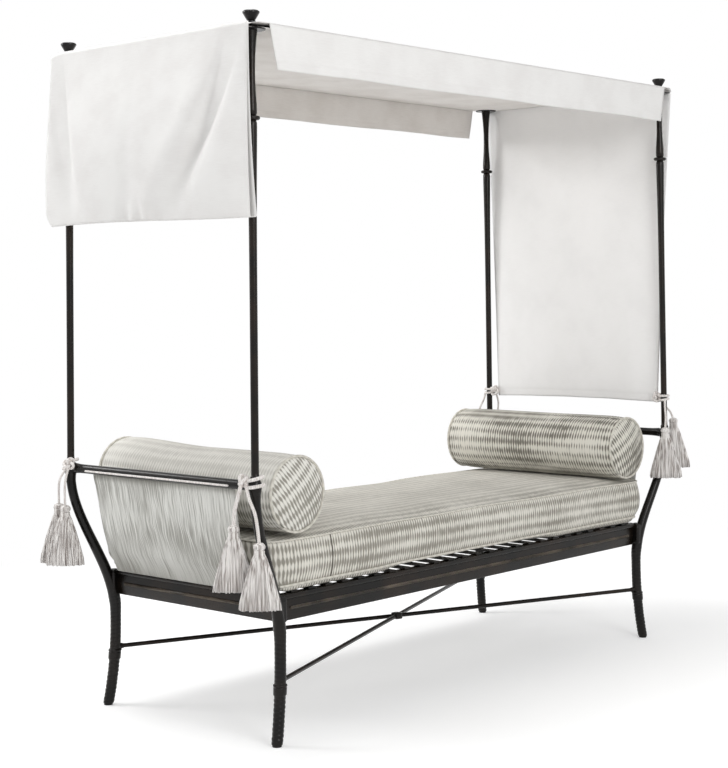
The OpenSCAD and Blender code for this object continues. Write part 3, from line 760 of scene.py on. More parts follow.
# %% [markdown]
# Three more shapes are cast onto the leg: the square block that the seat rails meet, and the
# two bosses that take the arm rail and the stretcher. The bosses are short bars whose radius
# grows. The block is a stack of rings pushed out from a circle towards a square.

# %% Blocks, bosses and the four legs
def corner_block(x, y, half, low, high, rounded=0.009):
    """An upright block with rounded edges: its rings are circles pushed out towards a square."""
    sides = 48
    angle = angles(sides) + np.pi / sides
    ring = np.stack([np.cos(angle), np.sin(angle)], 1)
    ring /= (np.abs(ring) ** 5).sum(1, keepdims=True) ** (1 / 5)
    steps = np.array([0, 0.001, rounded, 0.02])
    z = np.concatenate([low + steps, high - steps[::-1]])
    half_sides = half - rounded * np.array([1, 0.7, 0, 0, 0, 0, 0.7, 1])
    level = np.broadcast_to(z[:, None, None], (len(z), sides, 1))
    rings = np.concatenate([ring[None] * half_sides[:, None, None], level], 2)
    return closed_grid(rings + (x, y, 0), (high - low, 0.14))


def leg_shapes():
    """The bar, the block that the rails meet, the arm rail's boss and the stretcher's boss."""
    boss_y = np.array([0.430, 0.414, 0.405, 0.400, 0.3985])
    boss = np.stack([np.full(5, POST_X), boss_y, np.full(5, ARM_Z)], 1)
    arm_boss = tube(boss, np.array([0.013, 0.0135, 0.0142, 0.0135, 0.011]), (0, 0, 1), 24)
    foot = leg_middle(np.array([0.184]))[0]
    heading = np.array([foot[0], foot[1], 0]) / math.hypot(foot[0], foot[1])
    reach = np.linspace(-0.0275, 0, 6)[:, None]
    stub_radii = np.array([0.008, 0.0092, 0.0098, 0.0105, 0.012, 0.0135])
    stub = tube(foot + reach * heading, stub_radii, (0, 0, 1), 20)
    return [leg_bar(), corner_block(0.962, 0.3801, 0.018, 0.352, 0.4355), arm_boss, stub]


def mirrored(shapes, sx, sy):
    """Shapes of the back right corner, mirrored to the corner with those signs."""
    return [(points * (sx, sy, 1), faces, maps) for points, faces, maps in shapes]


for where, signs in CORNERS.items():
    leg = piece(where + "_leg", mirrored(leg_shapes(), *signs), leg_metal,
                stands_for=[where + "_leg"], crisp=55)
    print(leg.name, len(leg.data.polygons), "faces")

# %% [markdown]
# The seat rails are long moulded bars: a nosing on top, a field that slopes out to a corded bead
# and a lower band. One section is carried from corner to corner. Its ends are cut on the slant,
# because behind the corner blocks the four rails meet like a picture frame.

# %% Seat rails
RAIL_SECTION = np.array([
    (0, 0), (18.5, 0), (20, 0.6), (21, 3), (24.6, 30), (25, 33), (25.2, 42), (24.4, 46),
    (22.4, 60), (22, 62.5), (23, 63.6), (27, 64), (30, 65.2), (32.2, 67.6), (33, 70.5),
    (33, 73.5), (32.2, 76.6), (30.4, 79), (28, 80), (0, 80)]) / 1000
RAIL_LOW, RAIL_DEEP = 0.354, 0.028
BEAD_Z, BEAD_R = 0.3916, 0.0056


def rail(face, block, mitre, depth):
    """The section between its two slanted ends, along X with its outer face at y = face, and the
    rope bead that lies in its field. The ends run from mitre inside to block at that depth."""
    out, z = RAIL_SECTION.T
    stop = np.interp(out, [0, depth], [mitre, block])
    x = np.linspace(-1, 1, 60)[:, None] * stop
    y = np.broadcast_to(face - RAIL_DEEP + out, x.shape)
    rings = np.stack([x, y, np.broadcast_to(RAIL_LOW + z, x.shape)], 2)
    end = np.array([block - 0.034, face - 0.0022, BEAD_Z])
    line = np.linspace(end * (-1, 1, 1), end, 30)
    return [closed_grid(rings, (2 * block, 0.24))], rope(line, BEAD_R, (0, 0, 1), 0.015, 6)


def quarter_turn(points, quarters):
    """Turns points by quarter turns about Z."""
    x, y, z = points.T
    return np.stack([*((x, y), (-y, x), (-x, -y), (y, -x))[quarters], z], 1)


for quarters, side_name in enumerate(("back", "left", "front", "right")):
    long_way = quarters % 2 == 0
    bar, bead = rail(LEG_Y, 0.944, 0.934, 0.012) if long_way else rail(0.962, 0.3621, 0.3501, 0.010)
    bar, bead = ([(quarter_turn(p, quarters), f, m) for p, f, m in shapes] for shapes in (bar, bead))
    piece(side_name + "_seat_rail", bar, frame_metal,
          stands_for=[side_name + "_seat_rail"], crisp=28)
    # The bead's lighter metal is partly rubbed wear and partly a painted highlight.
    made = piece(side_name + "_rail_bead", bead, bead_highlight_metal)
    print(side_name, "rail bead", len(made.data.polygons), "faces")

# %% [markdown]
# An arm rail joins the tops of two legs. It is an oval bar that thickens towards its bosses. The
# sling below hangs from a cream cord that is drawn along the rail's outer side, so that cord is
# a piece of its own, with rounded ends.

# %% Arm rails and their hanging cords
RAIL_END, END_LONG = 0.401, 0.03
CORD_MIDDLE, CORD_HALF, DOME = 0.0075, 0.3325, 0.005


def arm_rail(sign):
    """Oval rings along Y that grow towards both ends."""
    closing = END_LONG * np.linspace(0, 1, 7)[:-1] ** 1.4
    straight = np.linspace(END_LONG - RAIL_END, RAIL_END - END_LONG, 40)
    y = np.concatenate([closing - RAIL_END, straight, RAIL_END - closing[::-1]])
    grow = 1 + 0.16 * np.clip((np.abs(y) - 0.355) / 0.046, 0, 1) ** 2
    ring = circle(32)
    ring = np.sign(ring) * np.abs(ring) ** 0.86 * (0.0102, 0.0142)
    x, z = POST_X * sign + ring[:, 0] * grow[:, None], ARM_Z + ring[:, 1] * grow[:, None]
    return [closed_grid(np.stack([x, np.broadcast_to(y[:, None], x.shape), z], 2), (0.802, 0.08))]


def hanging_cord(sign):
    """A round cord whose last 5 mm close in to a dome at each end."""
    turn = DOME * (1 - np.cos(np.linspace(0, np.pi / 2, 6)[:-1]))
    front, back = CORD_MIDDLE - CORD_HALF, CORD_MIDDLE + CORD_HALF
    y = np.concatenate([front + turn, np.linspace(front + DOME, back - DOME, 50), back - turn[::-1]])
    reach = np.clip(np.abs(y - CORD_MIDDLE) - CORD_HALF + DOME, 0, 0.00499) / DOME
    line = np.stack([np.full(len(y), sign * 1.1114), y, np.full(len(y), 0.7672)], 1)
    return [tube(line, 0.0031 * np.sqrt(np.clip(1 - reach ** 2, 0.01, 1)), (0, 0, 1), 16)]


for side_name, sign in (("left", -1), ("right", 1)):
    piece(side_name + "_arm_rail", arm_rail(sign), leg_metal,
          stands_for=[side_name + "_arm_rail"], crisp=0)
    piece(side_name + "_arm_cord", hanging_cord(sign), rope_cotton, crisp=0)
    print(side_name, "arm rail and cord")

# %% [markdown]
# The posts are turned: a slim shaft that swells to a collar, a waist and a flared top. A turned
# shape is a profile spun about an upright line, so the profile alone is written down, and more
# points are put where it curves.

# %% Posts
POST_PROFILE = np.array([
    (766, 6.9), (788, 6.9), (789.5, 12.6), (792.5, 14.4), (797.5, 14.4), (799.5, 13.2), (802, 12),
    (812, 11.6), (852, 11.5), (1300, 11.5), (1430, 11.7), (1560, 12.2), (1640, 12.8),
    (1696, 13.5), (1740, 14.2), (1779, 14.8), (1806, 15), (1817, 14.8), (1821, 13.4),
    (1823.5, 12.6), (1824.5, 17), (1825.5, 20.6), (1828, 23.2), (1831, 24), (1834, 23.2),
    (1836.5, 20.6), (1837.5, 17), (1838.5, 12.6), (1841, 13.6), (1844, 14.9), (1858, 15),
    (1872, 14.5), (1896, 12.8), (1920, 11.5), (1940, 10.8), (1961, 10.5), (1980, 10.6),
    (1997, 10.9), (2016, 11.8), (2035, 13.1), (2052, 14.5), (2066, 15.8), (2078, 17.1),
    (2085.6, 18)]) / 1000
for where, signs in CORNERS.items():
    shaft = mirrored([spun(POST_PROFILE, (POST_X, POST_Y, 0), 48)], *signs)
    post = piece(where + "_post", shaft, frame_metal,
                 stands_for=[where + "_post"], crisp=50)
    print(post.name, "from", POST_PROFILE[0, 0], "to", POST_PROFILE[-1, 0])

# %% [markdown]
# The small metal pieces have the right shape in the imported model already: glides, slats, rods,
# hub, capitals, finials and canopy rails. They stay, and only get their finish.

# %% Finishes of the pieces that stay
STAYING = {"foot_glides": (glide_rubber, "glide_rubber"), "post_capitals": (dark_metal, "dark_metal")}
STAYING.update({where + "_finial": (dark_metal, "dark_metal") for where in CORNERS})
plain = ["seat_slats", "stretcher_rods", "stretcher_hub"]
plain += [side + "_canopy_rail" for side in ("front", "back", "left", "right")]
STAYING.update({name: (frame_metal, "frame_metal") for name in plain})
for node_name, (finish, slot_name) in STAYING.items():
    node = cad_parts[node_name]
    node.data.materials.clear()
    node.data.materials.append(finish)
print(len(STAYING), "packed pieces stay")

# %% [markdown]
# The canopy is cloth laid over the rails, with a lining below and panels down each side. Cloth
# that is held by its edges sags a little between them and is never quite flat. Each sheet is a
# height worked out over a grid, then given a thin wall, half of it to each side.

# %% Sheets of cloth
def wander(u, v, seed, scale=1.0):
    """A smooth uneven height from -1 to 1: five slow waves that cross at their own angles."""
    rng = np.random.default_rng(seed)
    ways, starts = rng.uniform(0, 2 * np.pi, 5), rng.uniform(0, 2 * np.pi, 5)
    pitches = rng.uniform(0.24, 0.7, 5) / scale
    return sum(np.sin(2 * np.pi * (u * np.cos(way) + v * np.sin(way)) / pitch + start)
               for way, start, pitch in zip(ways, starts, pitches)) / 5


def beyond(length, start, reach):
    """0 up to a start and rising to 1 over the reach past it."""
    return np.clip((length - start) / reach, 0, 1)


def square(half_x, half_y, n, m):
    """X and Y of a level rectangle's points."""
    x, y = np.linspace(-half_x, half_x, n), np.linspace(-half_y, half_y, m)
    return np.meshgrid(x, y, indexing="ij")


def sheet_piece(name, surface, finish, wall, flat):
    """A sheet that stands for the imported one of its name: its surface with a wall added."""
    made = piece(name, [grid(*surface)], finish, stands_for=[name], closed=False, crisp=0)
    solid = made.modifiers.new("wall", "SOLIDIFY")
    solid.thickness = wall
    solid.offset = 0
    print(name, "is cut", *flat)


print("a sheet wanders by", round(float(np.ptp(wander(*square(1, 0.4, 40, 20), 4))), 2))

# %% [markdown]
# The top is pulled over the four rails, so it is lowest half way between them, and its corners
# drop a little. The lining is slacker: it lies under the rails and falls in a few slanted folds.

# %% Canopy top and lining
def free(x, y, hold_x, hold_y, power):
    """How free the cloth is to sag: 1 in the middle, 0 where it lies on the rails."""
    return np.clip(1 - (x / hold_x) ** power, 0, 1) * np.clip(1 - (y / hold_y) ** power, 0, 1)


x, y = square(1.1493, 0.4713, 120, 52)
y *= 1 - 0.045 * beyond(np.abs(x), 1.09, 0.055) ** 2
sag = free(x, y, 1.09, 0.415, 8)
top_z = 2.1052 - 0.0085 * sag * (1 - (x / 1.15) ** 2) * (1 - (y / 0.47) ** 2)
top_z += 0.0016 * sag * wander(x, y, 4)
top_z -= 0.011 * beyond(np.abs(y), 0.40, 0.05) ** 2 * beyond(np.abs(x), 1.12, 0.028)
sheet_piece("canopy_top", (np.stack([x, y, top_z], 2), (2.2986, 0.9426)), canopy_cloth, 0.0012,
            flat=(2.30, 0.943))
x, y = square(1.1430, 0.4680, 130, 56)
y *= 1 - 0.045 * beyond(np.abs(x), 1.08, 0.055) ** 2
slanted = x * 0.55 + y * 0.9 + 0.05 * wander(x, y, 9)
crease = np.abs(np.sin(2 * np.pi * slanted / 0.42)) ** 3
slack = 0.011 + 0.004 * wander(x, y, 6, 1.3) - 0.005 * crease
low_z = 2.0905 - free(x, y, 1.1, 0.425, 6) * slack
sheet_piece("canopy_lining", (np.stack([x, y, low_z], 2), (2.286, 0.936)), lining_cloth, 0.001,
            flat=(2.29, 0.937))
print("canopy sags to", round(float(top_z.min()), 4), "and its lining to", round(float(low_z.min()), 4))

# %% [markdown]
# The valances hang along the two long sides. Their ends are cut on the slant, and a hem turned
# up along the bottom makes a thicker band. The hem is no extra piece: the last 25 mm of the
# same grid stand off by the thickness of one more layer.

# %% Valances
EDGE_Z = 2.1042
HEM_LAYER = 0.0007


def valance(sign, seed):
    """Rows down the panel: narrower towards the hem, with shallow folds that grow on the way down."""
    down = np.concatenate([np.linspace(0, 0.106, 14), [0.1075], np.linspace(0.108, 0.132, 5)])
    s, d = np.meshgrid(np.linspace(-1, 1, 190), down, indexing="ij")
    share = d / 0.132
    x = s * (1.070 - 0.030 * share)
    folds = wander(x * 1.5, d, seed) + 0.5 * np.sin(x * 17 + 1.4 * np.sin(x * 5 + seed))
    out = np.maximum(0.0045 * share ** 1.2 * folds, -0.0012) + HEM_LAYER * (d > 0.107)
    z = EDGE_Z - d - 0.0012 * np.sin(x * 9 + seed) * share
    return np.stack([x, sign * (0.4702 + out), z], 2), (2.14, 0.132)


for side_name, sign, seed, finish in (("front", -1, 11, canopy_cloth), ("back", 1, 12, lining_cloth)):
    sheet_piece(side_name + "_valance", valance(sign, seed), finish, 0.0014,
                flat=(2.14, 0.132))

# %% [markdown]
# The left drop is folded up on itself: it goes down outside, turns in a soft fold at the bottom
# and comes back up inside. Two long folds run down from its top corners, and it swells outwards
# near the bottom, where a few small creases gather.

# %% Left drop
DROP_LONG, DROP_HALF = 0.554, 0.45
INNER_X = 1.1452


def valley(across, down, start, finish, width):
    """A soft groove whose middle runs from start at the top to finish at the bottom."""
    middle = start + (finish - start) * down ** 1.35
    return np.exp(-((across - middle) / (width * (0.35 + 0.65 * down))) ** 2)


def left_relief(y, deep):
    """How far the outer layer stands off: it swells in the middle, sinks in two long grooves and
    a shallow one, and rises in two ridges beside them and in small creases by the fold."""
    swell = 0.040 * np.sin(np.pi * deep ** 1.3 * 0.86) * (1 - 0.95 * (y / 0.46) ** 4) + 0.008 * deep
    shown = np.clip(deep, 0.02, 1)
    groove = (0.042 * valley(y, deep, -0.40, -0.14, 0.062) * np.sin(np.pi * shown ** 0.8 * 0.93)
              + 0.038 * valley(y, deep, 0.41, 0.32, 0.065) * np.sin(np.pi * shown * 0.92)
              + 0.008 * valley(y, deep, 0.02, 0.04, 0.05) * deep)
    ridge = (0.008 * valley(y, deep, -0.30, -0.02, 0.06) * deep
             + 0.007 * valley(y, deep, 0.24, 0.12, 0.07) * deep)
    gather = np.exp(-((y + 0.02) / 0.17) ** 2) * beyond(deep, 0.86, 0.14)
    return np.maximum(swell - groove + ridge + 0.007 * np.sin(y * 62 + 2 * np.sin(y * 13)) * gather, 0)


def left_drop():
    """Rows from the canopy down outside, round the fold and up again inside. The outer layer
    stands off by its relief, and its side edges bow and spread a little towards the fold."""
    half_turn = np.linspace(0, np.pi, 9)[1:-1]
    down = np.concatenate([np.linspace(0, 1, 56), 1 + 0.010 * np.sin(half_turn), np.linspace(1, 0, 40)])
    face = np.concatenate([np.ones(56), np.cos(half_turn), -np.ones(40)])
    y, d = np.meshgrid(np.linspace(DROP_HALF, -0.46, 96), down, indexing="ij")
    face, deep = np.broadcast_to(face, d.shape), np.clip(d, 0, 1)
    outer = 1.1506 + left_relief(y, deep) + 0.0006 * wander(y, d, 3)
    x = -(INNER_X + (outer - INNER_X) * (face + 1) / 2)
    share = y / DROP_HALF
    edge = y + 0.016 * np.sign(y) * np.clip(np.abs(share), 0, 1) ** 6 * deep ** 2
    bow = 0.012 * np.sin(np.pi * deep ** 1.3) - 0.022 * beyond(deep, 0.92, 0.08) ** 2
    edge += bow * np.clip(share, 0, 1) ** 8
    edge -= ((face < 0) & (y < 0)) * 0.010 * deep ** 3 * np.abs(share) ** 8
    z = EDGE_Z - DROP_LONG * np.minimum(d, 1) - 0.5 * (d - deep) + 0.004 * np.sin(y * 5 + 0.6) * deep
    z -= 0.010 * beyond(y, 0.40, 0.05) ** 2 * (1 - deep) ** 8
    return np.stack([x, edge, z], 2), (0.91, 1.12)


sheet_piece("left_drop", left_drop(), canopy_cloth, 0.0014,
            flat=(0.91, 1.12))

# %% [markdown]
# The right drop is one long panel. Its hem is drawn in to the ties, so it narrows and leans
# inwards as it falls, with faint upright folds that fan out from the two tied corners.

# %% Right drop
def right_drop():
    """Rows down the panel: upright past the capitals, then leaning in to the ties."""
    down = np.concatenate([np.linspace(0, 1.186, 90), [1.1885], np.linspace(1.190, 1.217, 5)])
    s, d = np.meshgrid(np.linspace(-1, 1, 80), down, indexing="ij")
    lean = beyond(d, 0.028, 1.189)
    middle = np.sin(np.pi * lean)
    y = s * (DROP_HALF - 0.062 * lean) * (1 - 0.012 * middle)
    fold = (0.006 * np.sin(s * 9.5 + 1.5 * np.sin(2 * s)) * lean ** 1.5
            + 0.005 * wander(y, d * 0.3, 21) * middle
            - 0.007 * valley(s, lean, -0.2, -0.86, 0.16) * lean
            + 0.006 * valley(s, lean, 0.25, 0.9, 0.16) * lean)
    inward = np.minimum(fold, 0.0) * (0.4 + 0.6 * lean) + np.maximum(fold, 0.0)
    x = 1.1449 - 0.030 * lean + inward * np.clip(1.02 - np.abs(s) ** 6, 0, 1) + HEM_LAYER * (d > 1.187)
    return np.stack([x, y, EDGE_Z - d + 0.006 * (1 - s**2) * lean ** 6], 2), (0.9, 1.217)


# The right drop has the whiter copy of the canopy cloth, as painted light in the canopy's shade.
sheet_piece("right_drop", right_drop(), lit_drop_cloth, 0.0014,
            flat=(0.9, 1.217))

# %% [markdown]
# At each end a sling of the cushion cloth hangs from the arm rail and follows the sweep of the
# arms down to the seat, where it tucks under the cushion. It is pulled tight, so it shows only
# shallow creases that fan up from its lower corners.

# %% End slings
SLING_HIGH, SLING_LOW, TUCK_R = 0.7582, 0.447, 0.0085
CREASES = ((-0.30, 1.3, 0.0028), (-0.27, 0.8, 0.0026), (-0.22, 2.2, 0.002), (0.30, -1.2, 0.0026),
           (0.24, -2.0, 0.002))
SLING_GAP = [(SLING_LOW, 0), (0.467, 0.001), (0.51, 0.0085), (0.575, 0.002), (0.67, -0.014),
             (0.72, -0.017), (0.76, -0.012)]


def sling_profile():
    """Height and X down the arms' sweep, round the tuck and in over the end rail."""
    z = np.linspace(SLING_HIGH, SLING_LOW, 60)
    x = leg_middle(z)[:, 0] + np.interp(z, *np.array(SLING_GAP).T)
    turn = np.linspace(0, np.pi / 2, 7)[1:]
    bend = np.stack([x[-1] - TUCK_R * (1 - np.cos(turn)), SLING_LOW - TUCK_R * np.sin(turn)], 1)
    lip = np.stack([np.linspace(bend[-1, 0], 0.9545, 5)[1:], np.full(4, SLING_LOW - TUCK_R)], 1)
    return np.concatenate([np.stack([x, z], 1), bend, lip])


def sling(sign, seed):
    """The profile carried along Y, with creases that fan up from both lower corners."""
    profile = sling_profile()
    y, k = np.meshgrid(np.linspace(-0.325, 0.325, 90), np.arange(len(profile)), indexing="ij")
    fall = np.clip((SLING_HIGH - profile[k, 1]) / 0.311, 0, 1)
    hold = np.sin(np.pi * fall) ** 0.7
    fan = sum(height * np.exp(-(((y - corner_y) * slant - (1 - fall) * 0.5) / 0.03) ** 2)
              for corner_y, slant, height in CREASES)
    waves = (0.0022 * wander(y * 1.4, fall * 0.4, seed)
             + 0.0011 * np.sin(y * 42 + 1.5 * np.sin(y * 9)) * (0.4 + 0.6 * fall))
    x = sign * (profile[k, 0] + hold * (fan + waves - 0.004 * hold))
    pinched = y * (1 - 0.018 * np.sin(np.pi * fall))
    return np.stack([x, pinched, profile[k, 1]], 2), (0.65, 0.42)


for side_name, sign, seed in (("left", -1, 31), ("right", 1, 32)):
    sheet_piece(side_name + "_end_sling", sling(sign, seed), sling_cloth, 0.0034,
                flat=(0.65, 0.42))

# %% [markdown]
# A boxed cushion is two panels joined by a band, with a piped seam round each panel. A bolster is
# the same thing with round panels and a long band. So one function makes both: two square grids
# that share their outlines with the rows of the band, all in four-sided faces.

# %% Two panels and a band
def patches(a):
    """The four corners of every cell of a grid, in order round the cell."""
    cells = np.stack([a[:-1, :-1], a[1:, :-1], a[1:, 1:], a[:-1, 1:]], 2)
    return cells.reshape((-1, 4) + a.shape[2:])


def outline(nx, ny):
    """Numbers of the points round the edge of an nx by ny grid, once round."""
    ids = np.arange(nx * ny).reshape(nx, ny)
    return np.concatenate([ids[:, 0], ids[-1, 1:], ids[-2::-1, -1], ids[0, -2:0:-1]])


def panel_and_band(first, second, band, panel_map, band_map):
    """Points, faces and cloth map of a closed shell: band[row, point round] starts on the first
    panel's outline and ends on the second's."""
    nx, ny = first.shape[:2]
    edge, rows, m = outline(nx, ny), len(band) - 1, band.shape[1]
    ids = np.arange(nx * ny).reshape(nx, ny)
    inner = 2 * nx * ny + np.arange((rows - 1) * m).reshape(rows - 1, m)
    band_ids = np.concatenate([edge[None], inner, edge[None] + nx * ny])
    band_ids = np.concatenate([band_ids, band_ids[:, :1]], 1)
    faces = np.concatenate([patches(ids), patches(ids + nx * ny), patches(band_ids)])
    maps = np.concatenate([patches(panel_map), patches(panel_map), patches(band_map)])
    points = np.concatenate([part.reshape(-1, 3) for part in (first, second, band[1:-1])])
    return points, faces.tolist(), maps.reshape(-1, 2)


def where_points(made):
    """Places of an object's points, one row each."""
    co = np.zeros(len(made.data.vertices) * 3, np.float32)
    made.data.vertices.foreach_get("co", co)
    return co.reshape(-1, 3).astype(float)


def put_points(made, co):
    """Moves an object's points to the given places."""
    made.data.vertices.foreach_set("co", co.astype(np.float32).ravel())
    made.data.update()


print("a 5 by 4 panel has", len(outline(5, 4)), "points on its outline")

# %% [markdown]
# Stuffing is air pressure to Blender's cloth. A formula swells each panel first, as the cloth is
# cut fuller than its seams. Then the seams are held still, the panels blow out for twenty frames,
# and how far a point may move is capped. The moved points are kept and the cloth modifier is
# taken off, so the piece is a plain mesh from then on.

# %% Stuffing by cloth simulation
BLOW_FRAMES = 20
PRESSURE = 4.0


def stuff(made, still, cap, swell):
    """Swells the piece by the given moves, then blows it up from inside with its still points
    held, and caps each further move."""
    rest = where_points(made) + swell
    put_points(made, rest)
    seam = made.vertex_groups.new(name="seam")
    seam.add(still.tolist(), 1.0, "REPLACE")
    cloth = made.modifiers.new("Cloth", "CLOTH")
    cloth.settings.vertex_group_mass = "seam"
    cloth.settings.use_pressure = True
    cloth.settings.uniform_pressure_force = PRESSURE
    cloth.settings.effector_weights.gravity = 0
    cloth.settings.bending_stiffness = 2.0
    cloth.settings.quality = 4
    cloth.point_cache.frame_start, cloth.point_cache.frame_end = 1, BLOW_FRAMES
    for moment in range(1, BLOW_FRAMES + 1):
        bpy.context.scene.frame_set(moment)
    move = where_points(made.evaluated_get(bpy.context.evaluated_depsgraph_get())) - rest
    far = np.linalg.norm(move, axis=1, keepdims=True)
    move *= np.tanh(far / cap) * cap / np.maximum(far, 1e-9)
    made.modifiers.remove(cloth)
    made.vertex_groups.remove(seam)
    bpy.context.scene.frame_set(1)
    put_points(made, rest + move)
    return float(far.max())


def finish_padded(made):
    """One level of subdivision."""
    smooth = made.modifiers.new("finer", "SUBSURF")
    smooth.levels = smooth.render_levels = 1


print("stuffing helpers ready")

# %% [markdown]
# The seat cushion is nearly two metres long. Its plan is a rectangle with round corners whose
# long sides pull in a little between them. The bottom panel is sunk below its seam, except along
# the middle of the long sides, where its edge stays up.

# %% The seat cushion's panels and band
HALF_X, HALF_Y, CUSHION_LOW, CUSHION_HIGH = 0.9847, 0.3801, 0.4403, 0.6083
NX, NY, BAND_ROWS = 134, 52, 10
PANEL = NX * NY


def cushion_plan(s, t, inset=0.012, r=0.042):
    """Square coordinates to a rectangle with round corners, pulled in along its sides."""
    hx, hy = HALF_X - inset, HALF_Y - inset
    x, y = s * hx, t * hy
    a, b = beyond(np.abs(x), hx - r, r), beyond(np.abs(y), hy - r, r)
    x = np.sign(x) * np.where(a > 0, hx - r + r * a * np.sqrt(1 - b * b / 2), np.abs(x))
    y = np.sign(y) * np.where(b > 0, hy - r + r * b * np.sqrt(1 - a * a / 2), np.abs(y))
    middle = np.clip(1 - ((s + 0.03) / 0.50) ** 4, 0, 1)
    pull = (0.014 * middle - 0.009 + 0.0012 * np.sin(s * 17 + 2)) * np.abs(t) ** 4
    return x, y - np.sign(y) * pull


s, t = square(1, 1, NX, NY)
x, y = cushion_plan(s, t)
crowded = 1 - (1 - np.abs(t)) ** 1.7
low_x, low_y = cushion_plan(s, np.sign(t) * crowded)
lifted = np.clip(1 - ((s + 0.03) / 0.46) ** 4, 0, 1) * crowded ** 14
sunk = 0.0165 * (1 - np.abs(t) ** 60) * (1 - np.abs(s) ** 60) * (1 - 0.85 * lifted)
first = np.stack([low_x, low_y, CUSHION_LOW + 0.018 - sunk], 2)
second = np.stack([x, y, CUSHION_HIGH - 0.016 + 0.0015 * np.sin(x * 11 + 1) * np.abs(t) ** 6], 2)
edge = outline(NX, NY)
ring_low, ring_high = first.reshape(-1, 3)[edge], second.reshape(-1, 3)[edge]
share = np.linspace(0, 1, BAND_ROWS + 1)[:, None, None]
band = ring_low * (1 - share) + ring_high * share
around = run(np.concatenate([ring_low, ring_low[:1]])) - HALF_X
band_map = np.stack(np.broadcast_arrays(around[None], (share[:, :, 0] * 0.135)), 2)
shell = panel_and_band(first, second, band, np.stack([x, y], 2), band_map)
cushion = piece("seat_cushion", [shell], cushion_cloth, body="seat_cushion",
                stands_for=["seat_cushion"], crisp=0)
print("cushion shell of", len(shell[1]), "faces")

# %% [markdown]
# The top swells by 16 mm in the middle and the band by 12 mm before the air goes in. After it,
# the underside is flat again where it rests on the slats, and the top is flat where the bolsters
# press on it. Above the seat rails the ends grow longer, towards the slings.

# %% The seat cushion stuffed
swell = np.zeros_like(where_points(cushion))
reach = (np.clip(1 - s**10, 0, 1) * np.clip(1 - t**6, 0, 1)).ravel()
swell[:PANEL, 2], swell[PANEL:2 * PANEL, 2] = -0.002 * reach, 0.016 * reach
middle_row = np.repeat(np.sin(np.pi * np.arange(1, BAND_ROWS) / BAND_ROWS), len(edge))
outward = ring_low[:, :2] - np.clip(ring_low[:, :2], (-0.94, -0.33), (0.94, 0.33))
outward /= np.linalg.norm(outward, axis=1, keepdims=True)
swell[2 * PANEL:, :2] = 0.012 * middle_row[:, None] * np.tile(outward, (BAND_ROWS - 1, 1))
moved = stuff(cushion, np.concatenate([edge, edge + PANEL]), 0.006, swell)
co = where_points(cushion)
co[:, 2] += 0.0022 * wander(co[:, 0], co[:, 1], 41, 1.8) * (co[:, 2] > 0.598)
under_bolster = ease((np.abs(co[:, 0]) - 0.70) / 0.08)
co[:, 2] = np.clip(co[:, 2], CUSHION_LOW + 0.0004, CUSHION_HIGH + 0.012 - 0.0135 * under_bolster)
longer = np.where(co[:, 0] > 0, 0.032, -0.026)
co[:, 0] += longer * ease((np.abs(co[:, 0]) - 0.86) / 0.12) * ease((co[:, 2] - 0.447) / 0.040)
put_points(cushion, co)
finish_padded(cushion)
print("cushion moved", round(moved, 4), "and is", round(float(np.ptp(co[:, 2])), 4), "high")

# %% [markdown]
# Piping is a cord covered in cloth and sewn into the seam. Its line is the seam itself, read back
# from the stuffed cushion, so it follows every dip. Where the band of the cushion joins end to
# end, a thin cord of dark cloth lies on the upright seam as painted shadow in it.

# %% Piping of the seat cushion
CORE = np.array([0.93, 0.32])
JOIN_X = -0.735


def closed_tube(line, radius, across, sides=9):
    """A round cord along a closed line: its first points are repeated past the end, so that the
    joint is hidden inside it."""
    return tube(np.concatenate([line, line[:3]]), radius, across, sides)


def seam_line(ids, out):
    """The cushion's seam points moved out from its core by a small amount."""
    away = co[ids, :2] - np.clip(co[ids, :2], -CORE, CORE)
    away /= np.linalg.norm(away, axis=1, keepdims=True)
    return co[ids] + np.concatenate([away * out, np.zeros((len(ids), 1))], 1)


pipes = [closed_tube(seam_line(edge, 0.0022), 0.0042, (0, 0, 1)),
         closed_tube(seam_line(edge + PANEL, 0.0006), 0.0030, (0, 0, 1))]
piece("cushion_piping", pipes, piping_cloth, body="seat_cushion", crisp=0)
column = int(np.argmin(np.abs(ring_low[:NX, 0] - JOIN_X)))
rows_up = 2 * PANEL + np.arange(BAND_ROWS - 1) * len(edge) + column
upright = co[[edge[column], *rows_up, edge[column] + PANEL]] + (0, -0.0008, 0)
piece("cushion_band_seam_shadow", [tube(upright, 0.0018, (1, 0, 0), 7)], seam_shadow_cloth,
      body="seat_cushion", crisp=0)
print("seam", round(float(run(co[edge])[-1]), 3), "round")

# %% [markdown]
# Each bolster is a round cushion as long as the seat is deep. Its panels are discs made from a
# square grid, because a fan of thin triangles would pucker when it is blown up. The discs' cloth
# is laid at a slant, and the band's runs along the bolster.

# %% Bolster shells
ROUND_N, LONG_N, BOLSTER_R, BOLSTER_HALF, BOLSTER_Z = 19, 66, 0.118, 0.40015, 0.72660
BOLSTER_X = 0.890
DISC = ROUND_N * ROUND_N
SEAM_R, SEAM_Y = BOLSTER_R - 0.0075, BOLSTER_HALF - 0.0120
s, t = square(1, 1, ROUND_N, ROUND_N)
disc_x, disc_z = s * np.sqrt(1 - t * t / 2), t * np.sqrt(1 - s * s / 2)
disc_edge = outline(ROUND_N, ROUND_N)


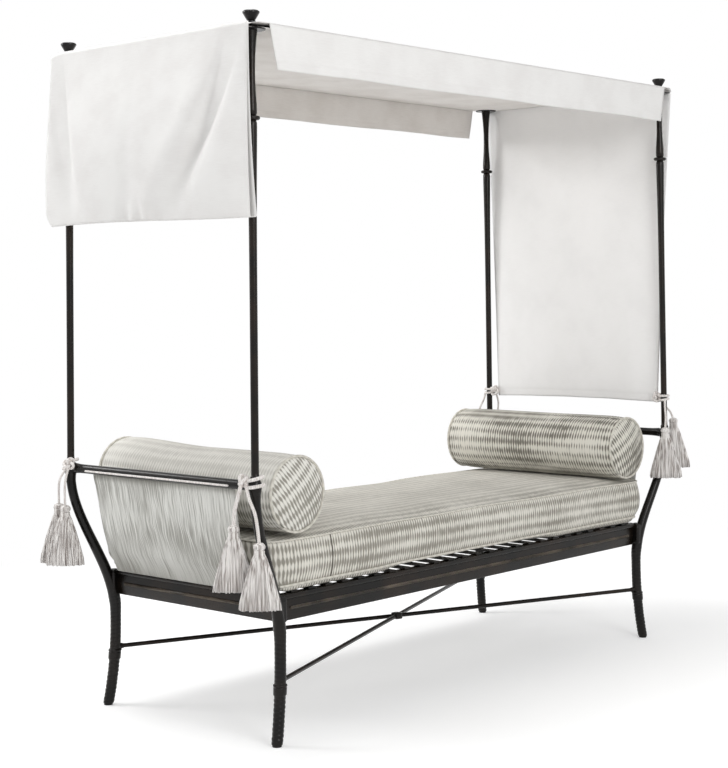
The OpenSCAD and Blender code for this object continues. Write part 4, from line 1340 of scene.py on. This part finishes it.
def bolster_shell(centre, slant):
    """Disc panels at both ends and a band along Y, with their cloth maps."""
    flat = np.stack([disc_x * SEAM_R, np.zeros_like(disc_x), disc_z * SEAM_R], 2) + centre
    ring = flat.reshape(-1, 3)[disc_edge]
    along = np.linspace(-SEAM_Y, SEAM_Y, LONG_N + 1)[:, None, None] * np.array([0, 1, 0])
    angle = np.unwrap(np.arctan2(ring[:, 2] - centre[2], ring[:, 0] - centre[0]))
    angle = np.append(angle, angle[0] + 2 * np.pi * np.sign(angle[5] - angle[0]))
    band_map = np.stack(np.broadcast_arrays(along[:, :, 1], angle[None] * BOLSTER_R), 2)
    disc_map = np.stack(turned(disc_x, disc_z, -slant), 2) * SEAM_R
    ends = flat + (0, -SEAM_Y, 0), flat + (0, SEAM_Y, 0)
    return panel_and_band(*ends, ring + along, disc_map, band_map)


print("a disc of", DISC, "points and a band of", LONG_N, "rows")

# %% [markdown]
# The discs dome and the band swells, then the air goes in. Weight and age press a bolster flat
# along the bottom, and the band wrinkles a little beside each seam. The back end of the left
# one is pushed back and up a little.

# %% Bolsters stuffed and worn
def bolster_swell(rest, centre):
    """Domes on the discs, and a band pushed out evenly but for its ends."""
    swell = np.zeros_like(rest)
    dome = 0.020 * np.clip(1 - (disc_x**2 + disc_z**2), 0, 1).ravel()
    swell[:DISC, 1], swell[DISC:2 * DISC, 1] = -dome, dome
    middle = rest[2 * DISC:] - centre
    level = np.clip(1 - np.abs(middle[:, 1:2] / SEAM_Y) ** 12, 0, 1)
    swell[2 * DISC:] = 0.0075 * level * middle * (1, 0, 1) / SEAM_R
    return swell


def wear(co, centre, sign):
    """Ripples beside each seam and slack along the band, a far end that is pushed back and up,
    and a flat underside where the bolster lies on the cushion."""
    angle = np.arctan2(co[:, 2] - centre[2], co[:, 0] - centre[0])
    on_band = np.abs(co[:, 1]) < SEAM_Y - 0.004
    near_seam = np.exp(-((np.abs(co[:, 1]) - SEAM_Y + 0.028) / 0.016) ** 2)
    ripple = 0.0016 * near_seam * np.sin(angle * 23 + 3 * np.sin(angle * 3))
    slack = 0.0016 * wander(co[:, 1], angle * 0.25, 50 + sign, 1.5)
    out = np.stack([np.cos(angle), np.zeros(len(co)), np.sin(angle)], 1)
    co = co + out * ((ripple + slack) * on_band)[:, None]
    far = ease(co[:, 1] / 0.39) * (1.0 if sign < 0 else 0.15)
    co[:, 1] += 0.016 * far
    co[:, 2] += 0.015 * far * ease((co[:, 2] - 0.66) / 0.12)
    co[:, 2] = np.maximum(co[:, 2], 0.6090)
    return co


# The left bolster gets the paler copy as painted light, and the right one the darker copy as painted
# shade.
for name, sign, slant, finish in (("left_bolster", -1, 0.62, lit_bolster_cloth),
                                  ("right_bolster", 1, 0.55, bolster_cloth)):
    centre = np.array([sign * BOLSTER_X, 0, BOLSTER_Z])
    made = piece(name, [bolster_shell(centre, slant)], finish, body=name,
                 stands_for=[name], crisp=0)
    still = np.concatenate([disc_edge, disc_edge + DISC])
    moved = stuff(made, still, 0.004, bolster_swell(where_points(made), centre))
    co = wear(where_points(made), centre, sign)
    put_points(made, co)
    finish_padded(made)
    pipes = []
    for seam in (co[disc_edge], co[disc_edge + DISC]):
        away = seam - (centre[0], seam[0, 1], centre[2])
        away /= np.linalg.norm(away, axis=1, keepdims=True)
        pipes.append(closed_tube(seam + away * (0.0020, 0, 0.0020), 0.0040, (0, 1, 0), 10))
    piece(name + "_piping", pipes, piping_cloth, body=name, crisp=0)
    print(name, "moved", round(moved, 4), "and lies at", round(float(co[:, 2].min()), 4))

# %% [markdown]
# The studio is a pale floor in a white room. The floor's own shade is kept near the bed, where
# its shadow falls, and gives way to plain white further off, so that no horizon shows. The
# camera and gloss see white all round, while the room's own light stays lower.

# %% Floor and room
WHITE = (1, 1, 1, 1)
floor_mesh = bpy.data.meshes.new("floor")
corners = [(-40, -40, -0.0004), (40, -40, -0.0004), (40, 40, -0.0004), (-40, 40, -0.0004)]
floor_mesh.from_pydata(corners, [], [(0, 1, 2, 3)])
floor = bpy.data.objects.new("floor", floor_mesh)
bpy.context.scene.collection.objects.link(floor)
f = Finish("studio_floor")
f.set(Base_Color=(0.8, 0.8, 0.8, 1), Roughness=0.9, Specular_IOR_Level=0.0)
away = f.node("VectorMath", {"operation": "LENGTH"}, {0: f.place((0.75, 1, 0))}, 1)
matt = Signal(f, f.shader.outputs[0])
white, glow = (f.node("Emission", {}, {"Color": WHITE, "Strength": k}) for k in (1.0, 0.36))
lit = f.node("AddShader", {}, {0: matt, 1: glow})
near = f.node("MixShader", {}, {0: away.step(1.5, 3.0), 1: lit, 2: white})
shown = f.node("MixShader", {}, {0: f.in_sight(), 1: matt, 2: near})
f.tree.links.new(shown.socket, f.tree.nodes["Material Output"].inputs["Surface"])
floor_mesh.materials.append(f.material)

studio = bpy.data.worlds.new("studio")
bpy.context.scene.world = studio
sky = Finish("studio", studio)
sky.tree.nodes.clear()
room, backdrop = (sky.node("Background", {}, {"Color": WHITE, "Strength": k}) for k in (0.55, 1.0))
seen = sky.node("MixShader", {}, {0: sky.in_sight(), 1: room, 2: backdrop})
sky.tree.links.new(seen.socket, sky.tree.nodes.new("ShaderNodeOutputWorld").inputs["Surface"])
print("floor and room ready")

# %% [markdown]
# Three large soft lamps light the bed. One behind on the left rakes along the canopy's end, so
# that its folds show, one hangs above and one in front opens the shade.

# %% Lamps
def lamp(name, spot, target, watts, size):
    """A square lamp at a spot that faces a target."""
    data = bpy.data.lights.new(name, "AREA")
    data.energy, data.size = watts, size
    aim = np.array(target, float) - spot
    aim /= np.linalg.norm(aim)
    side = np.cross(aim, (0, 0, 1))
    side /= np.linalg.norm(side)
    stand(bpy.data.objects.new(name, data), side, np.cross(side, aim), aim, spot)


lamp("left", (-4.0, 5.4, 3.3), (-0.4, 0, 1.4), 142, 2.0)
lamp("above", (-1.0, 0.9, 6.5), (0, 0, 0.6), 220, 3.0)
lamp("front", (-2.2, -6.2, 3.4), (0.4, 0, 1.2), 145, 2.6)
bpy.context.scene.view_settings.view_transform = "Standard"
print("lamps ready")
